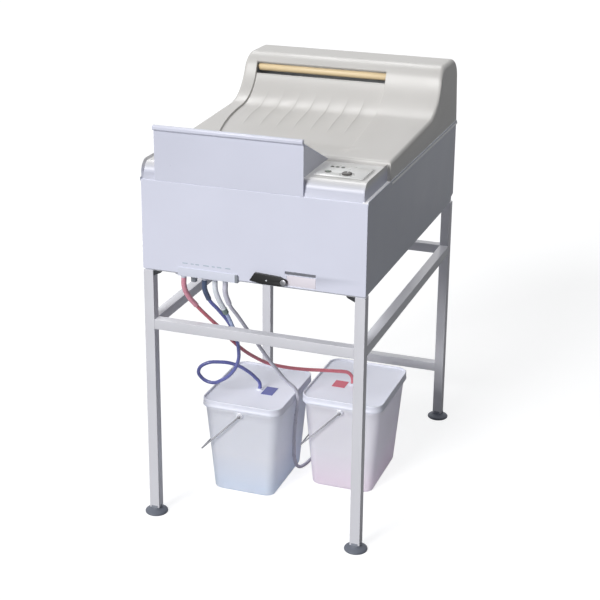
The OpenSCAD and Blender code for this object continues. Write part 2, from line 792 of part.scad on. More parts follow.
module catch_tray() {
    x0 = film_x - tray_w / 2;
    x1 = film_x + tray_w / 2;
    y0 = front_y - gap;
    y1 = y0 + tray_t;
    z0 = seam_z + gap;
    z1 = seam_z + tray_h;
    floor_z = console_z + gap;
    roll = 4;
    color([0.85, 0.86, 0.92]) {
        slab([x0, y0, z0], [x1, y1, z1]);
        along_x(concat([[y0, z1 - tray_lip_h]],
            arc([y0 - tray_lip + roll, z1 - tray_lip_h + roll], roll, 270, 180),
            arc([y0 - tray_lip + roll, z1 - roll], roll, 180, 90), [[y1, z1]],
            [[y1, z1 - tray_lip_h]]), x0, x1);
        slab([x0, y0, floor_z], [x1, front_y + tray_d, floor_z + tray_t]);
        for (x = [x0, x1 - tray_t]) along_x([[y0 + 1, floor_z], [front_y + tray_d, floor_z],
            [front_y + tray_d, floor_z + tray_t], [y1, z1 - tray_lip_h + 2],
            [y0 + 1, z1 - tray_lip_h + 2]], x, x + tray_t);
        for (x = [x0 - tray_t, x1 - tray_t]) along_x([[front_y + tray_d, floor_z + tray_t],
            [y1, z1 - tray_lip_h], [y1, z1 - tray_lip_h - tray_t],
            [front_y + tray_d, floor_z]], x, x + 2 * tray_t);
    }
}

// Tank with three compartments

module tank() {
    hole = drive_shaft_d + 2;
    color([0.30, 0.31, 0.33]) difference() {
        slab([tank_x0, tank_y0, pan_top], [tank_x1, tank_y1, tank_top]);
        for (i = [0 : 2]) slab([tank_x0 + tank_t, cell_y(i) - cell_l / 2, pan_top + tank_t],
            [tank_x1 - tank_t, cell_y(i) + cell_l / 2, tank_top + over]);
        slab([tank_x0 + tank_t, tank_y0 + tank_t, pan_top + partition_h],
             [tank_x1 - tank_t, tank_y1 - tank_t, tank_top + over]);
        rod_y([shaft_x, tank_y1 - tank_t - over, shaft_z], tank_t + 2 * over, hole);
    }
}

// A rack: two side plates, tie rods, a guide shoe round the drum and a bearing for the shaft
module rack_plate(x, c, feeds) {
    z0 = drum_z - drum_d / 2 - 24;
    z1 = tank_top + 14;
    arm = [[feed_y + 10, z1], [feed_y + 10, feed_z + 20], [feed_y - 10, feed_z + 20],
        [feed_y - 10, tank_top + 6]];
    plain = [[c - rack_l / 2, z1]];
    along_x(concat([[c - rack_l / 2, z0], [c + rack_l / 2, z0], [c + rack_l / 2, z1]],
        feeds ? arm : plain, [[c - rack_l / 2, tank_top + 6]]), x, x + rack_t);
}

module rack(i, feeds = false) {
    c = cell_y(i);
    shoe_r = drum_d / 2 + 6;
    rod_d = 8;
    lug_h = 5;
    x1 = rack_x1 + rack_t;
    color([0.55, 0.56, 0.58]) difference() {
        union() {
            rack_plate(rack_x0, c, feeds);
            rack_plate(rack_x1, c, feeds);
            for (y = [c - rack_l / 2 + 8, c + rack_l / 2 - 8])
                for (z = [drum_z - drum_d / 2 - 14, tank_top + 4])
                    rod_x([rack_x0 + rack_t / 2, y, z], rack_x1 - rack_x0, rod_d);
            for (y = [c - 30, c + 18]) {
                slab([tank_x0, y, tank_top], [rack_x0 + 1, y + 12, tank_top + lug_h]);
                slab([x1 - 1, y, tank_top], [tank_x1, y + 12, tank_top + lug_h]);
            }
            slab([shaft_x - 9, c + 34, shaft_z - 9], [x1 - 1, c + 42, shaft_z + 9]);
            intersection() {
                difference() {
                    rod_x([rack_x0 + 1, c, drum_z], x1 - rack_x0 - 2, 2 * shoe_r + 5, 64);
                    rod_x([rack_x0, c, drum_z], x1 - rack_x0, 2 * shoe_r, 64);
                }
                slab([rack_x0, c - 60, drum_z - 2 * shoe_r], [x1, c + 60, drum_z - 12]);
            }
        }
        rod_x([rack_x0 - over, c, drum_z], x1 - rack_x0 + 2 * over, drum_pin_d + 2 * run);
        rod_y([shaft_x, c + 33, shaft_z], 10, drive_shaft_d + 2 * run);
        if (feeds) for (z = [feed_z - feed_roller_d / 2, feed_z + feed_roller_d / 2 + gap])
            rod_x([rack_x0 - over, feed_y, z], x1 - rack_x0 + 2 * over, feed_pin_d + 2 * run);
    }
}
module developer_rack() { rack(0, true); }
module fixer_rack() { rack(1); }
module wash_rack() { rack(2); }

// A drum, its axle and its toothed wheel
module drum(i) {
    c = cell_y(i);
    root_d = gear_d - 8;
    step = 360 / gear_teeth;
    teeth = [for (k = [0 : gear_teeth - 1]) each [
        [root_d / 2, -0.34], [gear_d / 2, -0.17], [gear_d / 2, 0.17], [root_d / 2, 0.34]]];
    outline = [for (k = [0 : len(teeth) - 1]) let (a = (floor(k / 4) + teeth[k][1]) * step)
        teeth[k][0] * [cos(a), sin(a)]];
    color([0.62, 0.60, 0.57]) {
        difference() {
            rod_x([drum_x0, c, drum_z], drum_x1 - drum_x0, drum_d, 72);
            rod_x([drum_x0 + drum_wall, c, drum_z], drum_x1 - drum_x0 - 2 * drum_wall,
                  drum_d - 2 * drum_wall, 72);
            for (k = [0 : 3]) translate([drum_x0 - over, c, drum_z]) rotate([90 * k, 0, 0])
                translate([0, drum_d / 4 + 2, 0]) rod_x([0, 0, 0], drum_wall + 2 * over, 24);
        }
        rod_x([drum_x1 - 1, c, drum_z], gear_x0 - drum_x1 + 2, 30);
        translate([gear_x0, c, drum_z]) rotate([90, 0, 90]) linear_extrude(gear_t) polygon(outline);
        rod_x([rack_x0 - 1, c, drum_z], rack_x1 + rack_t - rack_x0 + 2, drum_pin_d);
    }
}
module developer_drum() { drum(0); }
module fixer_drum() { drum(1); }
module wash_drum() { drum(2); }

// Drive shaft with a worm over each drum's wheel
module drive_shaft() {
    worm_l = 26;
    y0 = tank_y0 + tank_t + 30;
    color([0.70, 0.70, 0.72]) {
        rod_y([shaft_x, y0, shaft_z], motor_y0 + 14 - y0, drive_shaft_d);
        for (i = [0 : 2]) for (k = [0 : 4])
            translate([shaft_x, cell_y(i) - worm_l / 2 + k * worm_l / 5, shaft_z])
                rotate([-90, 0, 0]) cylinder(d1 = worm_d - 4, d2 = worm_d, h = worm_l / 5, $fn = 32);
    }
}

module drive_motor() {
    color([0.35, 0.36, 0.38]) difference() {
        union() {
            slab([shaft_x - motor_box, motor_y0, shaft_z - motor_box],
                 [shaft_x + motor_box, motor_y0 + motor_box_l, shaft_z + motor_box]);
            rod_y([shaft_x, motor_y0 + motor_box_l - 1, shaft_z], motor_case_l, motor_case_d, 40);
        }
        rod_y([shaft_x, motor_y0 - over, shaft_z], 17, drive_shaft_d + 2 * run);
    }
}

// A rubber-covered roller between the two plates that carry its pins
module roller(y, z, x0, x1, d, pin_x0, pin_x1, pin_d) {
    rod_x([x0, y, z], x1 - x0, d, 40);
    rod_x([pin_x0, y, z], pin_x1 - pin_x0, pin_d);
}

module feed_roller_lower() {
    color([0.72, 0.70, 0.66]) roller(feed_y, feed_z - feed_roller_d / 2,
        feed_roller_x0, feed_roller_x1, feed_roller_d, rack_x0 - 1, rack_x1 + rack_t + 1, feed_pin_d);
}
module feed_roller_upper() {
    color([0.72, 0.70, 0.66]) roller(feed_y, feed_z + feed_roller_d / 2 + gap,
        feed_roller_x0, feed_roller_x1, feed_roller_d, rack_x0 - 1, rack_x1 + rack_t + 1, feed_pin_d);
}

roller_x0 = slot_x0 + 2;
roller_x1 = slot_x1 - 2;
module exit_roller_lower() {
    color([0.84, 0.76, 0.62]) roller(exit_c[0], exit_c[1], roller_x0, roller_x1, exit_roller_d,
        duct_x0 - 5, duct_x1 + 5, exit_shaft_d);
}
module exit_roller_upper() {
    color([0.35, 0.35, 0.36]) roller(nip_c[0], nip_c[1], roller_x0, roller_x1, nip_roller_d,
        duct_x0 - 5, duct_x1 + 5, exit_shaft_d - 2);
}

// Dryer duct between two side plates, which stand on the base pan and carry the exit rollers
module dryer_duct() {
    t = 2;
    plate_t = 4;
    leg_y0 = motor_y1 + 3;
    leg_y1 = half_d - wall - 3;
    color([0.68, 0.69, 0.71]) difference() {
        union() {
            difference() {
                slab([duct_x0, duct_y0, duct_z0], [duct_x1, duct_y1, duct_z1]);
                slab([duct_x0 + t, duct_y0 + t, duct_z0 - over],
                     [duct_x1 - t, duct_y1 - t, duct_z1 + over]);
            }
            for (x = [duct_x0 - plate_t, duct_x1]) {
                along_x([[exit_c[0] - 8, duct_z1 - 12], [leg_y1, duct_z1 - 12], [leg_y1, duct_z1],
                    [duct_y1, nip_c[1] + 9], [nip_c[0] - 3, nip_c[1] + 9],
                    [exit_c[0] - 8, exit_c[1] + 4]], x, x + plate_t);
                slab([x, leg_y0, pan_top], [x + plate_t, leg_y1, duct_z1]);
            }
        }
        rod_x([duct_x0 - 6, exit_c[0], exit_c[1]], duct_x1 - duct_x0 + 12, exit_shaft_d + 2 * run);
        rod_x([duct_x0 - 6, nip_c[0], nip_c[1]], duct_x1 - duct_x0 + 12, exit_shaft_d - 2 + 2 * run);
        slab([duct_x1 - t - over, blower_y - 14, blower_z - 24],
             [duct_x1 + plate_t + over, blower_y + 14, blower_z - 8]);
    }
}

module blower_housing() {
    t = 3;
    cell = blower_d + 8;
    y0 = blower_y - cell / 2 - t;
    z0 = blower_z - cell / 2 - t;
    color([0.40, 0.41, 0.43]) difference() {
        union() {
            slab([blower_x0, y0, z0], [blower_x1, y0 + cell + 2 * t, z0 + cell + 2 * t]);
            slab([duct_x1 + 4, blower_y - 20, blower_z - 30], [blower_x0 + 1, blower_y + 20, blower_z + 20]);
            slab([blower_x1 - t, blower_y - 30, pan_top], [blower_x1, blower_y + 30, z0 + 1]);
        }
        rod_x([blower_x0 + t, blower_y, blower_z], blower_x1 - blower_x0 - 2 * t, cell, 64);
        rod_x([blower_x1 - t - over, blower_y, blower_z], t + 2 * over, cell / 2, 48);
        rod_x([blower_x0 - 8, blower_y, blower_z], 8 + t + over, 8 + 2 * run);
        slab([duct_x1, blower_y - 14, blower_z - 24], [blower_x0 + t + over, blower_y + 14, blower_z - 8]);
    }
}

module blower_wheel() {
    x0 = blower_x0 + 8;
    w = blower_x1 - blower_x0 - 20;
    blade_t = 1.5;
    color([0.20, 0.21, 0.22]) {
        rod_x([x0, blower_y, blower_z], 3, blower_d, 64);
        rod_x([blower_x0 - 4, blower_y, blower_z], 30, 8);
        for (k = [0 : blade_count - 1]) translate([x0 + 2, blower_y, blower_z])
            rotate([k * 360 / blade_count, 0, 0]) translate([0, blower_d / 2 - 14, -blade_t / 2])
                cube([w, 13, blade_t]);
    }
}

// Two upright circulation pumps beside the tank
module circulation_pumps() {
    pump_x = (tank_x1 + half_w - wall) / 2;
    color([0.45, 0.50, 0.55]) for (i = [0, 1]) translate([pump_x, cell_y(i), pan_top]) {
        slab([-pump_base / 2, -pump_base / 2, 0], [pump_base / 2, pump_base / 2, pump_base_t]);
        rod_z([0, 0, pump_base_t - over], pump_body_h, pump_body_d, 40);
        rod_z([0, 0, pump_head_z], pump_head_h, pump_head_d, 40);
        rod_x([tank_x1 - pump_x, 0, pump_pipe_z], pump_x - tank_x1, pump_pipe_d);
        rod_z([0, 0, pump_head_z + pump_head_h - over], pump_neck_h, pump_pipe_d);
    }
}

module control_board() {
    x0 = tank_x1 + board_gap;
    x1 = half_w - wall - board_gap;
    w = x1 - x0;
    y0 = front_y + board_back;
    l = board_l;
    rise = 10;
    color([0.20, 0.42, 0.28]) translate([0, 0, pan_top]) {
        slab([x0, y0, rise], [x1, y0 + l, rise + 2]);
        for (x = [x0 + 6, x1 - 6]) for (y = [y0 + 6, y0 + l - 6]) rod_z([x, y, 0], rise + 1, 6);
        slab([x0 + w / 8, y0 + l / 9, rise + over], [x0 + w / 2, y0 + l / 3, rise + board_part_h]);
        slab([x0 + 0.6 * w, y0 + l / 8, rise + over],
             [x0 + 0.8 * w, y0 + 0.4 * l, rise + board_part_h / 2]);
        for (k = [0 : 2]) rod_z([x0 + w * (0.22 + 0.25 * k), y0 + 0.54 * l, rise + over],
            0.65 * board_part_h, w / 6);
        slab([x0 + w / 8, y0 + 0.73 * l, rise + over],
             [x1 - w / 8, y0 + 0.87 * l, rise + 0.4 * board_part_h]);
    }
}

// Pails. Each is made about its lid's middle and stands on the floor.

function rounded(w, d, r, steps = 6) = [for (q = [0 : 3]) for (i = [0 : steps])
    let (a = 90 * q + 90 * i / steps, sx = q == 0 || q == 3 ? 1 : -1, sy = q < 2 ? 1 : -1)
    [sx * (w / 2 - r) + r * cos(a), sy * (d / 2 - r) + r * sin(a)]];

// A rounded, tapering solid between two levels, as one closed mesh
module tapered(w0, d0, r0, z0, w1, d1, r1, z1) {
    low = rounded(w0, d0, r0);
    high = rounded(w1, d1, r1);
    n = len(low);
    points = concat([for (p = low) [p[0], p[1], z0]], [for (p = high) [p[0], p[1], z1]]);
    faces = concat([[for (k = [0 : n - 1]) k]], [[for (k = [n - 1 : -1 : 0]) n + k]],
        [for (k = [0 : n - 1]) let (m = (k + 1) % n) each [[k, n + k, m], [m, n + k, n + m]]]);
    polyhedron(points, faces, convexity = 4);
}

module pail(c) {
    color([0.90, 0.91, 0.94]) translate([c[0], c[1], 0]) difference() {
        union() {
            tapered(pail_base_w, pail_base_d, 24, 0, rim_w, rim_d, 30, wall_top);
            for (s = [-1, 1]) rod_y([0, s > 0 ? wall_half(pivot_z) - 3 : -wall_half(pivot_z) - ear_l,
                pivot_z], ear_l + 3, 18);
        }
        tapered(pail_base_w - 2 * pail_t, pail_base_d - 2 * pail_t, 24 - pail_t, pail_t + 1,
            rim_w - 2 * pail_t, rim_d - 2 * pail_t, 30 - pail_t, wall_top + 0.01);
        for (s = [-1, 1]) rod_y([0, s > 0 ? wall_half(pivot_z) : -wall_half(pivot_z) - ear_l - over,
            pivot_z], ear_l + over, bail_wire_d + 2 * run);
    }
}
module pail_left() { pail(pail_left_c); }
module pail_right() { pail(pail_right_c); }

// Lid: a skirt over the rim, a sunk top plate, and a boss where the hose goes in
module pail_lid(c, hose_at) {
    color([0.80, 0.82, 0.88]) translate([c[0], c[1], 0]) difference() {
        union() {
            difference() {
                translate([0, 0, pail_h - lid_h]) linear_extrude(lid_h)
                    polygon(rounded(lid_w, lid_d, lid_r));
                translate([0, 0, pail_h - lid_sink]) linear_extrude(lid_sink + over)
                    polygon(rounded(lid_w - 9, lid_d - 9, lid_r - 4.5));
            }
            rod_z([hose_at[0] - c[0], hose_at[1] - c[1], pail_h - lid_sink - over],
                boss_h + over, boss_d);
        }
        translate([0, 0, pail_h - lid_h - over]) linear_extrude(lid_h - 12 + over)
            polygon(rounded(lid_w - 2 * lid_skirt, lid_d - 2 * lid_skirt, lid_r - lid_skirt));
    }
}
module pail_lid_left() { pail_lid(pail_left_c, blue_end); }
module pail_lid_right() { pail_lid(pail_right_c, red_end); }

module lid_tags() {
    color([0.40, 0.42, 0.66]) translate([pail_left_c[0], pail_left_c[1], pail_h - lid_sink])
        slab([blue_tag_x, blue_tag_y, 0], [blue_tag_x + blue_tag_w, blue_tag_y + blue_tag_l, tag_t]);
    color([0.80, 0.40, 0.48]) translate([pail_right_c[0], pail_right_c[1], pail_h - lid_sink])
        slab([red_tag_x, red_tag_y, 0], [red_tag_x + red_tag_w, red_tag_y + red_tag_l, tag_t]);
}

// Bail: wire bent round the pail, with a flattened eye at each ear, hanging to the left
module bail_side(side) {
    eye_t = bail_wire_d - 2 * gap;
    rotate([0, 270 - bail_angle, 0]) translate([0, side * arm_y, 0]) {
        cylinder(d = bail_wire_d, h = bail_l, $fn = 20);
        translate([0, 0, bail_l]) sphere(d = bail_wire_d + gap, $fn = 20);
    }
    rod_y([0, side * arm_y - eye_t / 2, 0], eye_t, 2.2 * bail_wire_d, 24);
    rod_y([0, side > 0 ? arm_y - ear_l : -arm_y, 0], ear_l, bail_wire_d, 20);
}

module bail(c) {
    color([0.60, 0.60, 0.62]) translate([c[0], c[1], pivot_z]) {
        bail_side(-1);
        bail_side(1);
        rotate([0, 270 - bail_angle, 0])
            rod_y([0, -arm_y, bail_l], 2 * arm_y, bail_wire_d, 20);
    }
}
module bail_left() { bail(pail_left_c); }
module bail_right() { bail(pail_right_c); }

module bail_grip(c) {
    p = [c[0] - bail_l * cos(bail_angle), c[1] - grip_l / 2, pivot_z - bail_l * sin(bail_angle)];
    color([0.28, 0.29, 0.30]) difference() {
        union() {
            rod_y(p, grip_l, grip_d, 32);
            for (k = [0, grip_l - 4]) rod_y(p + [0, k, 0], 4, grip_collar_d, 32);
        }
        rod_y(p - [0, over, 0], grip_l + 2 * over, bail_wire_d + 2 * run, 20);
    }
}
module bail_grip_left() { bail_grip(pail_left_c); }
module bail_grip_right() { bail_grip(pail_right_c); }

leg_front_left();
leg_front_right();
leg_rear_left();
leg_rear_right();
front_rail();
side_rails();
rear_rails();
foot_front_left();
foot_front_right();
foot_rear_left();
foot_rear_right();
base_pan();
front_panel();
left_panel();
right_panel();
rear_panel();
rear_panel_screws();
console();
control_plate();
indicator_lamps();
temperature_knob();
standby_button();
service_plate();
drain_lever();
lever_pivot();
hose_manifold();
red_hose();
blue_hose();
lilac_hose();
overflow_hose();
top_cover();
catch_tray();
tank();
developer_rack();
fixer_rack();
wash_rack();
developer_drum();
fixer_drum();
wash_drum();
feed_roller_lower();
feed_roller_upper();
exit_roller_lower();
exit_roller_upper();
dryer_duct();
blower_housing();
blower_wheel();
drive_motor();
drive_shaft();
circulation_pumps();
control_board();
mains_inlet();
pail_left();
pail_right();
pail_lid_left();
pail_lid_right();
lid_tags();
bail_left();
bail_right();
bail_grip_left();
bail_grip_right();
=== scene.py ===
"""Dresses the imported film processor: hoses, moulded covers, sheet metal, pails, and their finishes."""
import math

import bmesh
import bpy
from bpy.props import FloatProperty, FloatVectorProperty, IntProperty, PointerProperty
from mathutils import Matrix, Vector


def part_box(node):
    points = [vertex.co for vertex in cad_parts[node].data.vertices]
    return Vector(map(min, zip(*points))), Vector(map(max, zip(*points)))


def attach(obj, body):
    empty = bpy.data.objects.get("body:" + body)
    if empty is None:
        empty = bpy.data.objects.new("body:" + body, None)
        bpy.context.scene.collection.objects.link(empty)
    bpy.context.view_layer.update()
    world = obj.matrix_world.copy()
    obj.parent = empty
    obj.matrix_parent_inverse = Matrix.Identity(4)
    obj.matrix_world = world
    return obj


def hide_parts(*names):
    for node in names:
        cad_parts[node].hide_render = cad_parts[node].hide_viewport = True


bl_info = {
    "name": "Film Processor Finishes",
    "version": (1, 0, 0),
    "blender": (4, 5, 0),
    "location": "3D View > Sidebar > Processor",
    "description": "Builds the looks of a roller film processor round its CAD frame",
    "category": "Object",
}

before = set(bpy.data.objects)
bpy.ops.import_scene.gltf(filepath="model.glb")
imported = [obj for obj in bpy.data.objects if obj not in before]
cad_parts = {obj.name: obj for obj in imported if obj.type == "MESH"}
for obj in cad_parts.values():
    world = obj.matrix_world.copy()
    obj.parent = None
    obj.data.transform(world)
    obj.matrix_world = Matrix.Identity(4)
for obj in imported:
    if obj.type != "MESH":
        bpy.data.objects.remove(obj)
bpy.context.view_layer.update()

MM = 0.001
SIDE_X = 300.0
MACHINE = "machine"


def linear(red, green, blue):
    """A colour read as 8-bit display values, as Blender's linear colour."""
    return tuple(c / 12.92 if c <= 0.04045 else ((c + 0.055) / 1.055) ** 2.4
                 for c in (red / 255, green / 255, blue / 255))


def length(name, description, mm, top=2000.0):
    return FloatProperty(name=name, description=description, default=mm * MM, min=0.0,
                         max=top * MM, unit="LENGTH", precision=4)


def tint(name, description, red, green, blue):
    return FloatVectorProperty(name=name, description=description, subtype="COLOR", size=3,
                               min=0.0, max=1.0, default=linear(red, green, blue))


def angle(name, description, degrees):
    return FloatProperty(name=name, description=description, default=math.radians(degrees),
                         unit="ROTATION")


# Settings

class StageSettings(bpy.types.PropertyGroup):
    floor_size: length("Floor", "Width of the floor", 30000, 60000)
    floor_tint: tint("Floor colour", "Colour of the floor", 168, 169, 170)
    floor_glow: FloatProperty(name="Floor glow", description="How much paler the camera sees the floor",
                              default=0.72, min=0.0)
    key_strength: FloatProperty(name="Key light", description="Strength of the main light",
                                default=2.85, min=0.0)
    key_from: FloatVectorProperty(name="Key direction", description="Where the main light comes from",
                                  subtype="DIRECTION", size=3, default=(-0.28, -0.85, 0.44))
    key_spread: angle("Key spread", "Apparent size of the main light", 24)
    over_strength: FloatProperty(name="Overhead light", description="Strength of the soft light above",
                                 default=1.2, min=0.0)
    over_from: FloatVectorProperty(name="Overhead direction", subtype="DIRECTION", size=3,
                                   description="Where the overhead light comes from",
                                   default=(-0.3, 0.55, 0.78))
    fill_strength: FloatProperty(name="Fill light", description="Strength of the surrounding light",
                                 default=0.13, min=0.0)
    lens: FloatProperty(name="Lens", description="Focal length", default=86.31, unit="CAMERA")
    camera_azimuth: angle("Azimuth", "Camera's direction round the machine", 19.51)
    camera_elevation: angle("Elevation", "Camera's height above level", 18.97)
    camera_roll: angle("Roll", "Camera's roll", 0.54)


class StandSettings(bpy.types.PropertyGroup):
    paint: tint("Stand paint", "Colour of the tube stand", 208, 208, 214)
    foot: tint("Foot", "Colour of the levelling feet", 96, 101, 112)
    # Paler than the feet: painted light on the feet's tops.
    hub: tint("Foot hub", "Colour of the levelling feet's raised hubs", 128, 132, 142)
    # Near black: painted shade where the cabinet's corner meets the front legs.
    gusset: tint("Gusset", "Colour of the plate under the cabinet's corner", 40, 42, 46)
    edge: length("Tube corner", "Radius of the square tube's corners", 2.0)


class CabinetSettings(bpy.types.PropertyGroup):
    front: tint("Front", "Colour of the front panel and the tray", 215, 217, 232)
    # The side panels' colour is the front paint made darker: painted shade on the sides and the rear.
    side: tint("Sides", "Colour of the side panels", 180, 183, 194)
    console: tint("Console", "Colour of the console's top", 210, 209, 206)
    pan: tint("Base pan", "Colour of the base pan", 176, 178, 186)
    trim: tint("Trim", "Colour of the ledge and trim along the side panels", 244, 244, 246)
    inset: length("Console inset", "From a side panel's face to the console's end", 10)
    edge: length("Panel edge", "Rounding of the panels' edges", 1.6)


class CoverSettings(bpy.types.PropertyGroup):
    shade: tint("Cover", "Colour of the top cover", 198, 196, 193)
    lip_height: length("Lip height", "Height of the front lip above the panels", 53)
    slope_rise: length("Slope rise", "Rise of the gentle slope", 16)
    tower_foot: length("Tower foot", "From the rear face to the foot of the steep front", 295)
    hollow_radius: length("Hollow radius", "Radius at the foot of the tower", 125)
    steep: angle("Steepest slope", "Steepest angle of the tower's front", 72)
    brow_radius: length("Brow radius", "Radius of the tower's top front edge", 54)
    shoulder_radius: length("Shoulder radius", "Radius of the tower's upper corners", 13)
    edge_radius: length("Edge radius", "Rounding along the slope's two sides", 9)
    lip_radius: length("Lip radius", "Rounding of the front lip", 8)
    rear_radius: length("Rear radius", "Rounding of the top rear edge", 44)
    lean: length("Lean", "How far the sides lean in at the tower's top", 5)
    wall: length("Wall", "Thickness of the moulding", 3.7)
    recess_depth: length("Recess depth", "Depth of the film recess", 5.6)
    ribs: IntProperty(name="Ribs", description="Ribs in the film recess", default=7, min=0)
    rib_width: length("Rib width", "Width of a rib", 3)
    rib_height: length("Rib height", "Height of a rib above the recess", 0.7)
    slot_width: length("Slot width", "Width of the film exit slot", 390)
    slot_height: length("Slot height", "Height of the film exit slot", 28)
    film_shift: length("Film shift", "From the machine's middle to the film's middle", 63)


class PailSettings(bpy.types.PropertyGroup):
    wall: tint("Pail", "Colour of the pails", 241, 242, 254)
    lid: tint("Lid", "Colour of the lids", 222, 224, 236)
    corner: length("Corner radius", "Radius of the pails' upright corners", 30)
    thickness: length("Wall", "Wall thickness of a pail", 2.5)
    blue_tag: tint("Blue tag", "Colour of the left lid's tag", 66, 74, 150)
    red_tag: tint("Red tag", "Colour of the right lid's tag", 196, 62, 92)


class HoseSettings(bpy.types.PropertyGroup):
    diameter: length("Diameter", "Outer diameter of the hoses", 10)
    sleeve: length("Sleeve", "Wall of the sleeves at the hoses' upper ends", 2)
    red: tint("Red hose", "Colour of the developer hose", 206, 116, 128)
    red_sleeve: tint("Red sleeve", "Colour of the developer hose's upper sleeve", 216, 150, 166)
    blue: tint("Blue hose", "Colour of the fixer hose", 108, 113, 178)
    blue_sleeve: tint("Blue sleeve", "Colour of the fixer hose's upper sleeve", 76, 90, 118)
    lilac: tint("Lilac hose", "Colour of the drain hose", 206, 205, 218)
    pale: tint("Pale hose", "Colour of the overflow hose", 176, 190, 224)
    clear: tint("Clear sleeve", "Colour of the overflow hose's upper part", 224, 228, 234)
    band: tint("Band", "Colour of the overflow hose's joint", 120, 138, 134)


class ControlSettings(bpy.types.PropertyGroup):
    plate: tint("Control plate", "Colour of the control plate", 216, 217, 216)
    knob: tint("Knob", "Colour of the knob", 84, 82, 80)
    mark: tint("Marks", "Colour of the dial's ticks and the bezels", 70, 68, 66)
    lever: tint("Lever", "Colour of the drain lever", 9, 9, 11)
    roller: tint("Exit roller", "Colour of the lower exit roller", 222, 200, 160)


# Meshes

def piece(name, bm, finish, body=MACHINE, replaces=(), sharp=35.0):
    """Turns a bmesh into a piece that rides on a body and stands for some CAD nodes."""
    mesh = bpy.data.meshes.new(name)
    bm.to_mesh(mesh)
    bm.free()
    mesh.polygons.foreach_set("use_smooth", [True] * len(mesh.polygons))
    mesh.set_sharp_from_angle(angle=math.radians(sharp))
    obj = bpy.data.objects.new(name, mesh)
    return place(obj, finish, body, replaces)


def place(obj, finish, body=MACHINE, replaces=()):
    bpy.context.scene.collection.objects.link(obj)
    obj.data.materials.append(finish)
    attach(obj, body)
    if replaces:
        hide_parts(*replaces)
    return obj


def lofted(rings, closed=True, start=True, end=True):
    """A bmesh through rings of equal length; closed rings get flat ends."""
    bm = bmesh.new()
    rows = [[bm.verts.new(p) for p in ring] for ring in rings]
    count = len(rows[0])
    last = count if closed else count - 1
    for low, high in zip(rows, rows[1:]):
        for k in range(last):
            bm.faces.new((low[k], low[(k + 1) % count], high[(k + 1) % count], high[k]))
    if closed and start:
        bm.faces.new(reversed(rows[0]))
    if closed and end:
        bm.faces.new(rows[-1])
    bmesh.ops.recalc_face_normals(bm, faces=bm.faces)
    return bm


def turned(outline, centre, axis="Z", segments=64, start=True, end=True):
    """A lathe: outline holds (radius, distance along the axis) pairs."""
    turn = {"Z": Matrix.Identity(3), "X": Matrix.Rotation(math.radians(90), 3, "Y"),
            "Y": Matrix.Rotation(math.radians(-90), 3, "X")}[axis]
    rings = [[Vector(centre) + turn @ Vector((r * math.cos(a), r * math.sin(a), h))
              for a in (2 * math.pi * k / segments for k in range(segments))]
             for r, h in outline]
    return lofted(rings, start=start, end=end)


def arc(centre, radius, first, last, steps):
    """Points of an arc in a plane, with angles in degrees."""
    return [(centre[0] + radius * math.cos(a), centre[1] + radius * math.sin(a))
            for a in (math.radians(first + (last - first) * k / steps) for k in range(steps + 1))]


def rounded_square(width, depth, radius, steps=8):
    """The outline of a rectangle with round corners, anticlockwise."""
    points = []
    for quarter, (sx, sy) in enumerate(((1, 1), (-1, 1), (-1, -1), (1, -1))):
        middle = (sx * (width / 2 - radius), sy * (depth / 2 - radius))
        points += arc(middle, radius, 90 * quarter, 90 * quarter + 90, steps)
    return points


def prism(outline, axis, low, high):
    """An outline run along an axis; it is in the other two axes, in X, Y, Z order."""
    def at(p, s):
        return {"X": (s, p[0], p[1]), "Y": (p[0], s, p[1]), "Z": (p[0], p[1], s)}[axis]
    return lofted([[at(p, low) for p in outline], [at(p, high) for p in outline]])


def block(low, high):
    return prism([(low[0], low[1]), (high[0], low[1]), (high[0], high[1]), (low[0], high[1])],
                 "Z", low[2], high[2])


def joined(forms):
    """One bmesh of several."""
    whole = bmesh.new()
    for form in forms:
        mesh = bpy.data.meshes.new("form")
        form.to_mesh(mesh)
        form.free()
        whole.from_mesh(mesh)
        bpy.data.meshes.remove(mesh)
    return whole


def eased(obj, width, segments=3, limit=35.0):
    """Rounds an object's edges."""
    bevel = obj.modifiers.new("edges", "BEVEL")
    bevel.width = width
    bevel.segments = segments
    bevel.limit_method = "ANGLE"
    bevel.angle_limit = math.radians(limit)
    bevel.use_clamp_overlap = True
    bevel.harden_normals = True
    return obj


def dressed(node, finish, edge=0.0, segments=2, sharp=30.0):
    """Gives a CAD node its finish, and rounds its edges by modifiers."""
    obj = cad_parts[node]
    mesh = obj.data
    if mesh.has_custom_normals:
        mesh.normals_split_custom_set([(0.0, 0.0, 0.0)] * len(mesh.loops))
    mesh.materials.clear()
    mesh.materials.append(finish)
    mesh.polygons.foreach_set("use_smooth", [True] * len(mesh.polygons))
    weld = obj.modifiers.new("weld", "WELD")
    weld.merge_threshold = 0.00002
    if edge:
        flat = obj.modifiers.new("flatten", "DECIMATE")
        flat.decimate_type = "DISSOLVE"
        flat.angle_limit = math.radians(0.5)
        eased(obj, edge, segments, sharp)
    return obj


# Finishes

